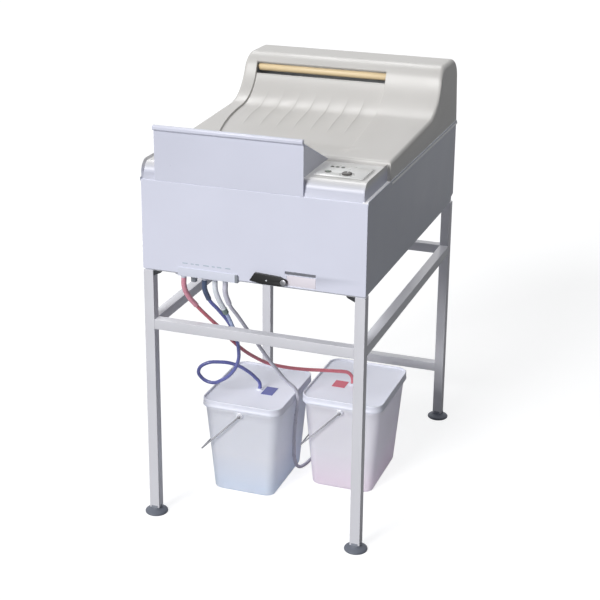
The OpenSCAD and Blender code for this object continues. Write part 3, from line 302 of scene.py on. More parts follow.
class Nodes:
    """A material's node tree, with short ways to add and join nodes."""

    def __init__(self, name):
        self.material = bpy.data.materials.new(name)
        self.material.use_nodes = True
        self.tree = self.material.node_tree
        self.shader = self.tree.nodes["Principled BSDF"]

    def add(self, kind, inputs=(), **settings):
        node = self.tree.nodes.new(kind)
        for key, value in settings.items():
            setattr(node, key, value)
        for key, value in dict(inputs).items():
            self.join(value, node.inputs[key])
        return node

    def join(self, value, target):
        if isinstance(value, bpy.types.NodeSocket):
            self.tree.links.new(value, target)
        else:
            target.default_value = value

    def shade(self, **inputs):
        for key, value in inputs.items():
            self.join(value, self.shader.inputs[key.replace("_", " ")])

    def place(self):
        return self.add("ShaderNodeTexCoord").outputs["Object"]

    def noise(self, vector, scale, detail=3.0):
        return self.add("ShaderNodeTexNoise", {"Vector": vector, "Scale": scale,
                                               "Detail": detail}).outputs["Fac"]

    def ranged(self, value, low, high, to_low, to_high):
        return self.add("ShaderNodeMapRange", {"Value": value, "From Min": low, "From Max": high,
                                               "To Min": to_low, "To Max": to_high}).outputs["Result"]

    def blend(self, factor, first, second):
        node = self.add("ShaderNodeMix", data_type="RGBA")
        self.join(factor, node.inputs["Factor"])
        self.join(first, node.inputs[6])
        self.join(second, node.inputs[7])
        return node.outputs[2]

    def bump(self, height, strength, distance, base=None):
        inputs = {"Height": height, "Strength": strength, "Distance": distance}
        if base is not None:
            inputs["Normal"] = base
        return self.add("ShaderNodeBump", inputs).outputs["Normal"]


def solid(colour, factor=1.0):
    return (*[min(1.0, c * factor) for c in colour], 1.0)


def moulded(name, colour, roughness=0.38, grain=0.10, grain_size=0.9, mottle=0.03, coat=0.0,
            scatter=0.0):
    """Moulded or painted surface: fine grain, slight unevenness of tone and gloss."""
    n = Nodes(name)
    where = n.place()
    fine = n.noise(where, 1 / (grain_size * MM), 2.0)
    broad = n.noise(where, 7.0, 4.0)
    n.shade(Base_Color=n.blend(n.ranged(broad, 0.3, 0.7, 0.0, 1.0), solid(colour, 1 - mottle),
                               solid(colour, 1 + mottle)),
            Roughness=n.ranged(broad, 0.3, 0.7, roughness - 0.05, roughness + 0.06),
            Normal=n.bump(fine, grain, 0.0002))
    if coat:
        n.shade(Coat_Weight=coat, Coat_Roughness=0.15)
    if scatter:
        n.shade(Subsurface_Weight=scatter, Subsurface_Radius=(0.02, 0.018, 0.016),
                Subsurface_Scale=0.5)
    return n.material


def brushed(name, colour, roughness=0.3, across=(1.0, 1.0, 60.0), metal=1.0):
    """Metal with fine lines along one axis."""
    n = Nodes(name)
    stretched = n.add("ShaderNodeMapping", {"Vector": n.place(), "Scale": across}).outputs["Vector"]
    lines = n.noise(stretched, 60.0, 3.0)
    n.shade(Base_Color=n.blend(lines, solid(colour, 0.9), solid(colour, 1.05)),
            Roughness=n.ranged(lines, 0.2, 0.8, roughness - 0.06, roughness + 0.1),
            Normal=n.bump(lines, 0.05, 0.0001))
    n.shade(Metallic=metal)
    return n.material


def vinyl(name, colour, clear=0.15):
    """Soft hose: smooth, a little clear, with faint streaks."""
    n = Nodes(name)
    broad = n.noise(n.place(), 40.0, 3.0)
    n.shade(Base_Color=n.blend(broad, solid(colour, 0.88), solid(colour, 1.1)),
            Roughness=n.ranged(broad, 0.3, 0.7, 0.24, 0.36),
            Normal=n.bump(broad, 0.06, 0.0004))
    n.shade(Subsurface_Weight=clear, Subsurface_Radius=(0.006, 0.005, 0.006), Subsurface_Scale=0.5,
            Coat_Weight=0.25, Coat_Roughness=0.2)
    return n.material


def filled(name, colour, liquid, level):
    """Milky pail wall, tinted towards its foot by the solution behind it."""
    n = Nodes(name)
    where = n.place()
    height = n.add("ShaderNodeSeparateXYZ", {"Vector": where}).outputs["Z"]
    under = n.ranged(height, 0.2 * level, level, 1.0, 0.0)
    broad = n.noise(where, 9.0, 4.0)
    wall = n.blend(broad, solid(colour, 0.97), solid(colour, 1.03))
    n.shade(Base_Color=n.blend(under, wall, solid(liquid)),
            Roughness=n.ranged(broad, 0.3, 0.7, 0.30, 0.42),
            Normal=n.bump(n.noise(where, 260.0, 2.0), 0.06, 0.0003))
    n.shade(Subsurface_Weight=0.7, Subsurface_Radius=(0.05, 0.05, 0.056), Subsurface_Scale=1.0)
    return n.material


# Routes of the hoses, in millimetres, as they hang from the manifold

RED_ROUTE = [(-206, -395, 684), (-206, -395, 660), (-199, -388, 632), (-182, -372, 600),
             (-158, -350, 562), (-134, -320, 520), (-116, -286, 476), (-100, -250, 438),
             (-84, -210, 404), (-60, -165, 370), (-28, -120, 345), (14, -82, 329), (62, -50, 320),
             (96, -35, 317), (113, -27, 315), (127, -20, 311), (137, -15.5, 300), (140, -14, 286),
             (140, -14, 278)]
BLUE_ROUTE = [(-148, -395, 684), (-148, -395, 660), (-141, -385, 628), (-124, -362, 592),
              (-108, -334, 550), (-100, -304, 500), (-102, -278, 450), (-112, -258, 405),
              (-136, -242, 362), (-172, -228, 328), (-208, -222, 312), (-236, -226, 326),
              (-238, -236, 352), (-216, -236, 374), (-180, -222, 378), (-145, -198, 366),
              (-120, -174, 342), (-102, -153, 314), (-94, -140, 292), (-94, -140, 278)]
LILAC_ROUTE = [(-90, -395, 684), (-90, -395, 655), (-84, -385, 622), (-72, -356, 580),
               (-60, -318, 528), (-48, -276, 474), (-36, -236, 420), (-20, -198, 368),
               (-2, -170, 326), (17, -153, 298), (20.5, -144, 272), (18, -140, 240),
               (11, -134, 195), (5, -126, 145), (1, -116, 95), (-2, -100, 50), (0, -72, 16),
               (6, -36, 6), (12, 10, 6), (20, 60, 6), (32, 110, 6), (46, 160, 6)]
OVERFLOW_ROUTE = [(-119, -395, 684), (-118, -395, 660), (-111, -389, 632), (-101, -376, 600),
                  (-92, -362, 568), (-85, -350, 536)]


def metres(points):
    return [Vector(p) * MM for p in points]


def wire(name, points, radius, finish, body=MACHINE, replaces=(), resolution=8):
    """A round wire or hose along points, as a curve."""
    data = bpy.data.curves.new(name, "CURVE")
    data.dimensions = "3D"
    data.bevel_depth = radius
    data.bevel_resolution = resolution
    data.use_fill_caps = True
    data.resolution_u = 10
    spline = data.splines.new("BEZIER")
    spline.bezier_points.add(len(points) - 1)
    for knot, p in zip(spline.bezier_points, points):
        knot.co = p
        knot.handle_left_type = knot.handle_right_type = "AUTO"
    obj = bpy.data.objects.new(name, data)
    return place(obj, finish, body, replaces)


# Operators

class PROCESSOR_OT_stage(bpy.types.Operator):
    """Camera, lights, floor and surroundings"""
    bl_idname = "processor.stage"
    bl_label = "Stage"

    def execute(self, context):
        s = context.scene.processor_stage
        self.camera(context, s)
        self.lights(context, s)
        self.floor(context, s)
        self.surroundings(context, s)
        context.scene.view_settings.view_transform = "Standard"
        return {"FINISHED"}

    def camera(self, context, s):
        data = bpy.data.cameras.new("camera")
        data.lens = s.lens
        data.sensor_width = 36.0
        data.shift_x = -0.0003
        data.shift_y = -0.0875
        data.clip_end = 100.0
        cam = bpy.data.objects.new("camera", data)
        context.scene.collection.objects.link(cam)
        az, el = s.camera_azimuth, s.camera_elevation
        back = Vector((math.sin(az) * math.cos(el), -math.cos(az) * math.cos(el), math.sin(el)))
        right = (-back).cross(Vector((0, 0, 1))).normalized()
        up = right.cross(-back)
        roll = s.camera_roll
        across = right * math.cos(roll) + up * math.sin(roll)
        over = -right * math.sin(roll) + up * math.cos(roll)
        cam.matrix_world = Matrix.Translation((1.2463, -3.594, 1.9709)) @ Matrix(
            (across, over, back)).transposed().to_4x4()
        context.scene.camera = cam

    def lights(self, context, s):
        for name, strength, way, shadow in (("key", s.key_strength, s.key_from, True),
                                            ("overhead", s.over_strength, s.over_from, False)):
            data = bpy.data.lights.new(name, "SUN")
            data.energy = strength
            data.angle = s.key_spread
            data.use_shadow = shadow
            lamp = bpy.data.objects.new(name, data)
            lamp.rotation_euler = Vector(way).to_track_quat("Z", "Y").to_euler()
            context.scene.collection.objects.link(lamp)

    def floor(self, context, s):
        half = s.floor_size / 2
        mesh = bpy.data.meshes.new("floor")
        mesh.from_pydata([(-half, -half, 0), (half, -half, 0), (half, half, 0), (-half, half, 0)],
                         [], [(0, 1, 2, 3)])
        floor = bpy.data.objects.new("floor", mesh)
        context.scene.collection.objects.link(floor)
        n = Nodes("floor")
        n.shade(Base_Color=solid(s.floor_tint), Roughness=0.9, Specular_IOR_Level=0.1)
        seen = n.add("ShaderNodeLightPath").outputs["Is Camera Ray"]
        n.shade(Emission_Color=(1.0, 1.0, 1.0, 1.0),
                Emission_Strength=n.ranged(seen, 0.0, 1.0, 0.0, s.floor_glow))
        mesh.materials.append(n.material)

    def surroundings(self, context, s):
        world = bpy.data.worlds.new("surroundings")
        world.use_nodes = True
        tree = world.node_tree
        tree.nodes.clear()
        out = tree.nodes.new("ShaderNodeOutputWorld")
        mix = tree.nodes.new("ShaderNodeMixShader")
        soft = tree.nodes.new("ShaderNodeBackground")
        white = tree.nodes.new("ShaderNodeBackground")
        path = tree.nodes.new("ShaderNodeLightPath")
        either, shown = (tree.nodes.new("ShaderNodeMath") for _ in range(2))
        either.operation = shown.operation = "MAXIMUM"
        soft.inputs["Color"].default_value = (0.93, 0.95, 1.0, 1.0)
        soft.inputs["Strength"].default_value = s.fill_strength
        white.inputs["Color"].default_value = (1.0, 1.0, 1.0, 1.0)
        white.inputs["Strength"].default_value = 1.0
        tree.links.new(path.outputs["Is Camera Ray"], either.inputs[0])
        tree.links.new(path.outputs["Is Transmission Ray"], either.inputs[1])
        tree.links.new(either.outputs[0], shown.inputs[0])
        tree.links.new(path.outputs["Is Glossy Ray"], shown.inputs[1])
        tree.links.new(shown.outputs[0], mix.inputs[0])
        tree.links.new(soft.outputs[0], mix.inputs[1])
        tree.links.new(white.outputs[0], mix.inputs[2])
        tree.links.new(mix.outputs[0], out.inputs[0])
        context.scene.world = world


class PROCESSOR_OT_hoses(bpy.types.Operator):
    """The four hoses under the manifold, with the sleeves at their upper ends"""
    bl_idname = "processor.hoses"
    bl_label = "Hoses"

    def execute(self, context):
        s = context.scene.processor_hoses
        runs = (("red_hose", RED_ROUTE, s.red, s.red_sleeve, 4, "object", "red_vinyl", "hanging"),
                ("blue_hose", BLUE_ROUTE, s.blue, s.blue_sleeve, 3, "object", "blue_vinyl", "loose"),
                ("lilac_hose", LILAC_ROUTE, s.lilac, s.lilac, 3, "bare", "lilac_vinyl", "hanging"),
                ("overflow_hose", OVERFLOW_ROUTE, s.pale, s.clear, 4, "bare", "pale_blue_vinyl",
                 "hanging"))
        for node, route, shade, top, knots, far_end, slot, lay in runs:
            points = metres(route)
            hose = wire(f"{node}_run", points, s.diameter / 2, vinyl(slot, shade),
                        replaces=[node])
            sleeve = wire(f"{node}_sleeve", points[:knots], s.diameter / 2 + s.sleeve,
                          vinyl(f"{slot}_sleeve", top, 0.3))
            if node == "overflow_hose":
                self.band(points, s)
        return {"FINISHED"}

    def band(self, points, s):
        """The joint between the clear sleeve and the pale hose."""
        start, end = points[3], points[4]
        return wire("overflow_hose_band", [start.lerp(end, t) for t in (-0.12, 0.1, 0.3)],
                    s.diameter / 2 + s.sleeve * 1.4, vinyl("band_vinyl", s.band, 0.1))


class PROCESSOR_OT_stand(bpy.types.Operator):
    """Tube stand and its levelling feet"""
    bl_idname = "processor.stand"
    bl_label = "Stand"

    def execute(self, context):
        s = context.scene.processor_stand
        paint = moulded("stand_paint", s.paint, roughness=0.32, grain=0.12, grain_size=1.6,
                        mottle=0.02, coat=0.15)
        for node in ("leg_front_left", "leg_front_right", "leg_rear_left", "leg_rear_right",
                     "front_rail", "side_rails", "rear_rails"):
            dressed(node, paint, s.edge, 3)
        rubber = moulded("foot_plastic", s.foot, roughness=0.55, grain=0.2, grain_size=0.8,
                         mottle=0.08)
        # The hubs' paler colour is painted light on the feet's tops.
        hub = moulded("foot_hub_painted_light", s.hub, roughness=0.5, mottle=0.06)
        for corner in ("front_left", "front_right", "rear_left", "rear_right"):
            self.foot(corner, rubber, hub)
        self.gussets(s)
        return {"FINISHED"}

    def gussets(self, s):
        """Small plates in the corners between the front legs and the cabinet, coloured near black as
        painted shade.
        """
        plates = []
        for side in (-1, 1):
            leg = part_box(f"leg_front_{'left' if side < 0 else 'right'}")[side < 0].x
            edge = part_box("leg_front_left")[0].y
            outline = [(leg, 0.7075), (leg - side * 24 * MM, 0.7075), (leg - side * 20 * MM, 0.703),
                       (leg, 0.694)]
            plates.append(prism(outline, "Y", edge + 2 * MM, edge + 6 * MM))
        eased(piece("corner_gussets", joined(plates), moulded("gusset_painted_shade", s.gusset, 0.5)), 0.6 * MM, 2)

    def foot(self, corner, rubber, hub):
        low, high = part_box(f"foot_{corner}")
        centre = ((low[0] + high[0]) / 2, (low[1] + high[1]) / 2, 0.0)
        rim = (high[0] - low[0]) / 2
        outline = [(rim - 4 * MM, 0.0), (rim - 1.5 * MM, 0.4 * MM), (rim - 0.3 * MM, 1.6 * MM),
                   (rim, 3 * MM), (rim - 0.2 * MM, 5 * MM), (rim - 1.4 * MM, 6.6 * MM),
                   (rim - 5 * MM, 8.6 * MM), (rim - 10 * MM, 11.2 * MM), (rim - 14 * MM, 13.6 * MM),
                   (rim - 15.5 * MM, 15.4 * MM), (rim - 16.2 * MM, 17.8 * MM), (5 * MM, 18 * MM),
                   (5 * MM, 53 * MM)]
        piece(f"foot_{corner}_pad", turned(outline, centre, segments=72), rubber,
              body=f"foot_{corner}", replaces=[f"foot_{corner}"])
        collar = [(rim - 17 * MM, 16.6 * MM), (rim - 14.6 * MM, 16.8 * MM),
                  (rim - 14.2 * MM, 17.6 * MM), (rim - 14.2 * MM, 23.4 * MM),
                  (rim - 14.8 * MM, 24.2 * MM), (rim - 17 * MM, 24.4 * MM)]
        piece(f"foot_{corner}_hub", turned(collar, centre, segments=6), hub,
              body=f"foot_{corner}", sharp=20)


class PROCESSOR_OT_cabinet(bpy.types.Operator):
    """Panels, base pan and what is fixed to them"""
    bl_idname = "processor.cabinet"
    bl_label = "Cabinet"

    def execute(self, context):
        s = context.scene.processor_cabinet
        front = moulded("panel_paint", s.front, roughness=0.34, grain=0.10, grain_size=1.4,
                        mottle=0.012, coat=0.1)
        # A darker copy of the front paint, as painted shade, for the side and rear panels.
        side = moulded("shaded_side_paint", s.side, roughness=0.36, grain=0.10, grain_size=1.4,
                       mottle=0.015, coat=0.1)
        self.front_sheet(front, s)
        for node in ("left_panel", "right_panel", "rear_panel"):
            dressed(node, side, s.edge, 3)
        dressed("base_pan", moulded("pan_steel", s.pan, roughness=0.45, mottle=0.05), 1 * MM)
        steel = brushed("steel", linear(190, 190, 194), 0.28)
        dressed("rear_panel_screws", steel, 0.6 * MM)
        dressed("lever_pivot", steel, 0.8 * MM)
        plate = moulded("service_plate_sheet", linear(226, 220, 228), roughness=0.3, mottle=0.02)
        dressed("service_plate", plate, 0.3 * MM)
        c = context.scene.processor_controls
        black = moulded("black_plastic", c.lever, roughness=0.55, grain=0.2, mottle=0.1)
        dressed("mains_inlet", black, 0.8 * MM)
        dressed("drain_lever", black, 2.0 * MM, 3)
        front_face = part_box("drain_lever")[0].y
        dot = [(0.4 * MM, front_face - 0.5 * MM), (1.7 * MM, front_face - 0.5 * MM),
               (2.3 * MM, front_face + 0.1 * MM), (2.3 * MM, front_face + 1.5 * MM)]
        piece("lever_dot", turned(dot, (0.043, 0.0, 0.7255), "Y", 32),
              moulded("dot_ink", linear(206, 208, 212), 0.4), body="drain_lever")
        pale = moulded("manifold_plastic", linear(213, 216, 229), roughness=0.3, mottle=0.03)
        dressed("hose_manifold", pale, 1.2 * MM, 3)
        self.fittings()
        self.trim(s)
        return {"FINISHED"}

    def front_sheet(self, finish, s):
        """The front panel, a sheet with the narrow slot and the service plate's opening in it."""
        low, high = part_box("front_panel")
        across = (low.x, 0.089, 0.094, 0.170, high.x)
        up = (low.z, 0.716, 0.743, 0.745, 0.753, high.z)
        open_cells = {(2, 1), (1, 3), (2, 3)}
        cells = {(i, j) for i in range(4) for j in range(5)} - open_cells
        form = bmesh.new()
        depths = (low.y, low.y + 4 * MM)
        corner = {(i, j, k): form.verts.new((x, y, z)) for i, x in enumerate(across)
                  for j, z in enumerate(up) for k, y in enumerate(depths)}
        for i, j in sorted(cells):
            ring = ((i, j), (i + 1, j), (i + 1, j + 1), (i, j + 1))
            form.faces.new([corner[(*c, 0)] for c in ring])
            form.faces.new([corner[(*c, 1)] for c in reversed(ring)])
            for one, two, beyond in zip(ring, ring[1:] + ring[:1],
                                        ((i, j - 1), (i + 1, j), (i, j + 1), (i - 1, j))):
                if beyond not in cells:
                    form.faces.new([corner[(*one, 1)], corner[(*two, 1)], corner[(*two, 0)],
                                    corner[(*one, 0)]])
        loose = [v for v in form.verts if not v.link_faces]
        bmesh.ops.delete(form, geom=loose, context="VERTS")
        bmesh.ops.recalc_face_normals(form, faces=form.faces)
        eased(piece("front_panel_sheet", form, finish, replaces=["front_panel"]), s.edge, 3)

    def fittings(self):
        """Nuts and a cap on the manifold, its end clip, and plain marks on the panel above it."""
        nut = moulded("nut_plastic", linear(206, 210, 216), roughness=0.35, mottle=0.05)
        dark = moulded("clip_plastic", linear(136, 140, 148), roughness=0.45, mottle=0.06)
        mark = moulded("mark_ink", linear(176, 188, 200), roughness=0.5)
        places = (-206, -177, -148, -119, -90)
        rings = [turned([(7.2 * MM, 0.0), (10.6 * MM, 0.0), (11.6 * MM, 1.0 * MM),
                         (11.6 * MM, 6.0 * MM), (10.6 * MM, 7.0 * MM), (7.2 * MM, 7.0 * MM)],
                        (x * MM, -0.395, 0.6895), segments=6, start=False, end=False)
                 for x in places]
        for ring in rings:
            self.close(ring)
        piece("manifold_nuts", joined(rings), nut, sharp=20)
        cap = [(0.5 * MM, 675 * MM), (6.5 * MM, 675.4 * MM), (8.2 * MM, 676.8 * MM),
               (8.4 * MM, 689 * MM), (7.0 * MM, 689.4 * MM)]
        piece("manifold_cap", turned(cap, (-0.177, -0.395, 0.0), segments=32), dark)
        clip = prism([(-44 * MM, 706 * MM), (-36 * MM, 706 * MM), (-36 * MM, 724 * MM),
                      (-38 * MM, 727 * MM), (-44 * MM, 727 * MM)], "Y", -0.4455, -0.4405)
        eased(piece("manifold_clip", clip, dark), 0.8 * MM, 2)
        marks = [block(((x - w) * MM, -0.4404, 0.7385), ((x + w) * MM, -0.4398, 0.7415))
                 for x, w in ((-182, 7), (-162, 4), (-148, 5), (-124, 8), (-104, 4), (-88, 6),
                              (-64, 7))]
        piece("panel_marks", joined(marks), mark)

    def close(self, bm):
        """Joins a lathe's two open rims, so it is a ring with a hole."""
        rims = [e for e in bm.edges if e.is_boundary]
        bmesh.ops.bridge_loops(bm, edges=rims)
        bmesh.ops.recalc_face_normals(bm, faces=bm.faces)

    def trim(self, s):
        """Pale trim over the side panels' top edges, behind the console's ledge."""
        finish = moulded("trim_plastic", s.trim, roughness=0.35, mottle=0.01)
        for name, side in (("left", -1), ("right", 1)):
            outline = [(299.6, 944.5), (301.4, 944.2), (303.4, 946.4), (303.2, 948.0),
                       (300.9, 953.6), (300.3, 956.6), (299.95, 956.6), (299.95, 951.6),
                       (299.6, 951.0)]
            form = prism([(side * x * MM, z * MM) for x, z in outline], "Y", -0.2405, 0.4406)
            piece(f"seam_trim_{name}", form, finish)


class PROCESSOR_OT_console(bpy.types.Operator):
    """Console, control plate, lamps, knob and button"""
    bl_idname = "processor.console"
    bl_label = "Console"

    def execute(self, context):
        s = context.scene.processor_cabinet
        c = context.scene.processor_controls
        self.moulding(s)
        plate = moulded("plate_plastic", c.plate, roughness=0.28, grain=0.05, mottle=0.02)
        dressed("control_plate", plate, 0.4 * MM)
        dressed("standby_button", moulded("button_plastic", linear(116, 132, 120), roughness=0.35),
                0.8 * MM)
        dressed("indicator_lamps", moulded("lamp_plastic", linear(84, 104, 88), roughness=0.12,
                                           coat=0.6), 0.4 * MM)
        self.knob(c)
        self.marks(c)
        return {"FINISHED"}

    def moulding(self, s):
        """The console: a round-fronted moulding, flush on the left, with a ledge on the right."""
        low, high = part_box("console")
        end = SIDE_X * MM - s.inset
        radius = 30 * MM
        outline = [(low.y, low.z)] + [(y, z) for y, z in
                                      reversed(arc((low.y + radius, high.z - radius), radius,
                                                   90, 180, 16))]
        outline += [(high.y - 1.5 * MM, high.z), (high.y, high.z - 1.5 * MM), (high.y, low.z)]
        middle = ((low.y + high.y) / 2, (low.z + high.z) / 2)
        rings = []
        for x, inward in self.ends(-SIDE_X * MM + 0.4 * MM, end):
            ring = []
            for y, z in outline:
                above = max(0.0, min(1.0, (z - low.z) / (6 * MM)))
                ring.append((x, y + (middle[0] - y) * inward * above * 0.6,
                             z - (z - low.z) * inward * above))
            rings.append(ring)
        piece("console_moulding", lofted(rings), self.shaded(s, low.z, high.z),
              replaces=["console"])
        ledge = moulded("ledge_plastic", s.trim, roughness=0.35, mottle=0.01)
        form = block((end - 4 * MM, -0.4403, low.z - 0.2 * MM), (0.3006, -0.2405, low.z + 2.2 * MM))
        eased(piece("console_ledge", form, ledge), 0.9 * MM, 3)

    def shaded(self, s, foot, top):
        """The console's plastic: the front panel's colour, darkened as painted shade, below; a paler,
        warmer tone on top.
        """
        n = Nodes("console_plastic")
        where = n.place()
        height = n.add("ShaderNodeSeparateXYZ", {"Vector": where}).outputs["Z"]
        upper = n.ranged(height, foot + 24 * MM, top - 3 * MM, 0.0, 1.0)
        broad = n.noise(where, 7.0, 4.0)
        # solid(s.front, 0.86) darkens the front panel's colour as painted shade on the console's rounded
        # front.
        tone = n.blend(upper, solid(s.front, 0.86), solid(s.console))
        n.shade(Base_Color=n.blend(n.ranged(broad, 0.3, 0.7, 0.0, 0.06), tone,
                                   solid(s.console, 0.9)),
                Roughness=n.ranged(broad, 0.3, 0.7, 0.34, 0.42),
                Normal=n.bump(n.noise(where, 900.0, 2.0), 0.1, 0.0002))
        return n.material

    def ends(self, first, last):
        """(x, how far the outline draws in) along the console, with both ends rounded."""
        soft = 5 * MM
        turns = [math.radians(15 * k) for k in range(7)]
        near = [(soft * (1 - math.sin(a)), 0.11 * (1 - math.sin(a))) for a in reversed(turns)]
        return ([(first + x, d) for x, d in near] + [(last - x, d) for x, d in reversed(near)])

    def knob(self, c):
        low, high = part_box("temperature_knob")
        cx, cy = (low.x + high.x) / 2, (low.y + high.y) / 2
        rim = (high.x - low.x) / 2
        rings = []
        for out, z in ((-0.6, low.z), (0.0, low.z + 0.8 * MM), (0.0, high.z - 1.6 * MM),
                       (-0.7, high.z - 0.5 * MM), (-1.8, high.z - 0.1 * MM),
                       (-3.4, high.z - 0.1 * MM), (-4.2, high.z - 0.7 * MM),
                       (-9.5, high.z - 0.7 * MM)):
            grip = 0.45 * MM if out > -1 else 0.0
            rings.append([(cx + (rim + out * MM - grip * (k % 4 < 2)) * math.cos(a),
                           cy + (rim + out * MM - grip * (k % 4 < 2)) * math.sin(a), z)
                          for k, a in ((k, 2 * math.pi * k / 144) for k in range(144))])
        dark = moulded("knob_plastic", c.knob, roughness=0.36, mottle=0.05)
        piece("knob_grip", lofted(rings), dark, body="temperature_knob",
              replaces=["temperature_knob"], sharp=25)
        pointer = block((cx - 0.9 * MM, cy + 3 * MM, high.z - 1.0 * MM),
                        (cx + 0.9 * MM, cy + rim - 2 * MM, high.z - 0.02 * MM))
        piece("knob_pointer", pointer, moulded("pointer_ink", linear(226, 226, 226), 0.4),
              body="temperature_knob")

    def marks(self, c):
        """Ticks round the knob, and bezels round the lamps and the button."""
        low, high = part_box("temperature_knob")
        knob = Vector(((low.x + high.x) / 2, (low.y + high.y) / 2, 0))
        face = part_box("control_plate")[1].z
        ink = moulded("dial_ink", c.mark, roughness=0.45)
        ticks = []
        for k in range(19):
            turn = math.radians(-45 + 270 * k / 18)
            reach = 20.5 if k % 3 == 0 else 18.5
            tick = block((15.5 * MM, -0.55 * MM, face - 0.3 * MM), (reach * MM, 0.55 * MM,
                                                                  face + 0.15 * MM))
            tick.transform(Matrix.Translation(knob) @ Matrix.Rotation(turn, 4, "Z"))
            ticks.append(tick)
        piece("dial_ticks", joined(ticks), ink)
        places = [(x * MM, -0.316, 3.1 * MM, 5.0 * MM) for x in (168, 182, 196)]
        places.append((0.172, -0.362, 5.8 * MM, 8.6 * MM))
        rings = []
        for x, y, inner, outer in places:
            rings.append(turned([(inner, face - 0.4 * MM), (outer, face - 0.4 * MM),
                                 (outer, face + 0.5 * MM), (outer - 0.5 * MM, face + 0.9 * MM),
                                 (inner + 0.2 * MM, face + 0.9 * MM), (inner, face + 0.6 * MM),
                                 (inner, face - 0.4 * MM)], (x, y, 0.0), segments=40,
                                start=False, end=False))
            bmesh.ops.remove_doubles(rings[-1], verts=rings[-1].verts, dist=0.00001)
        piece("bezels", joined(rings), ink)


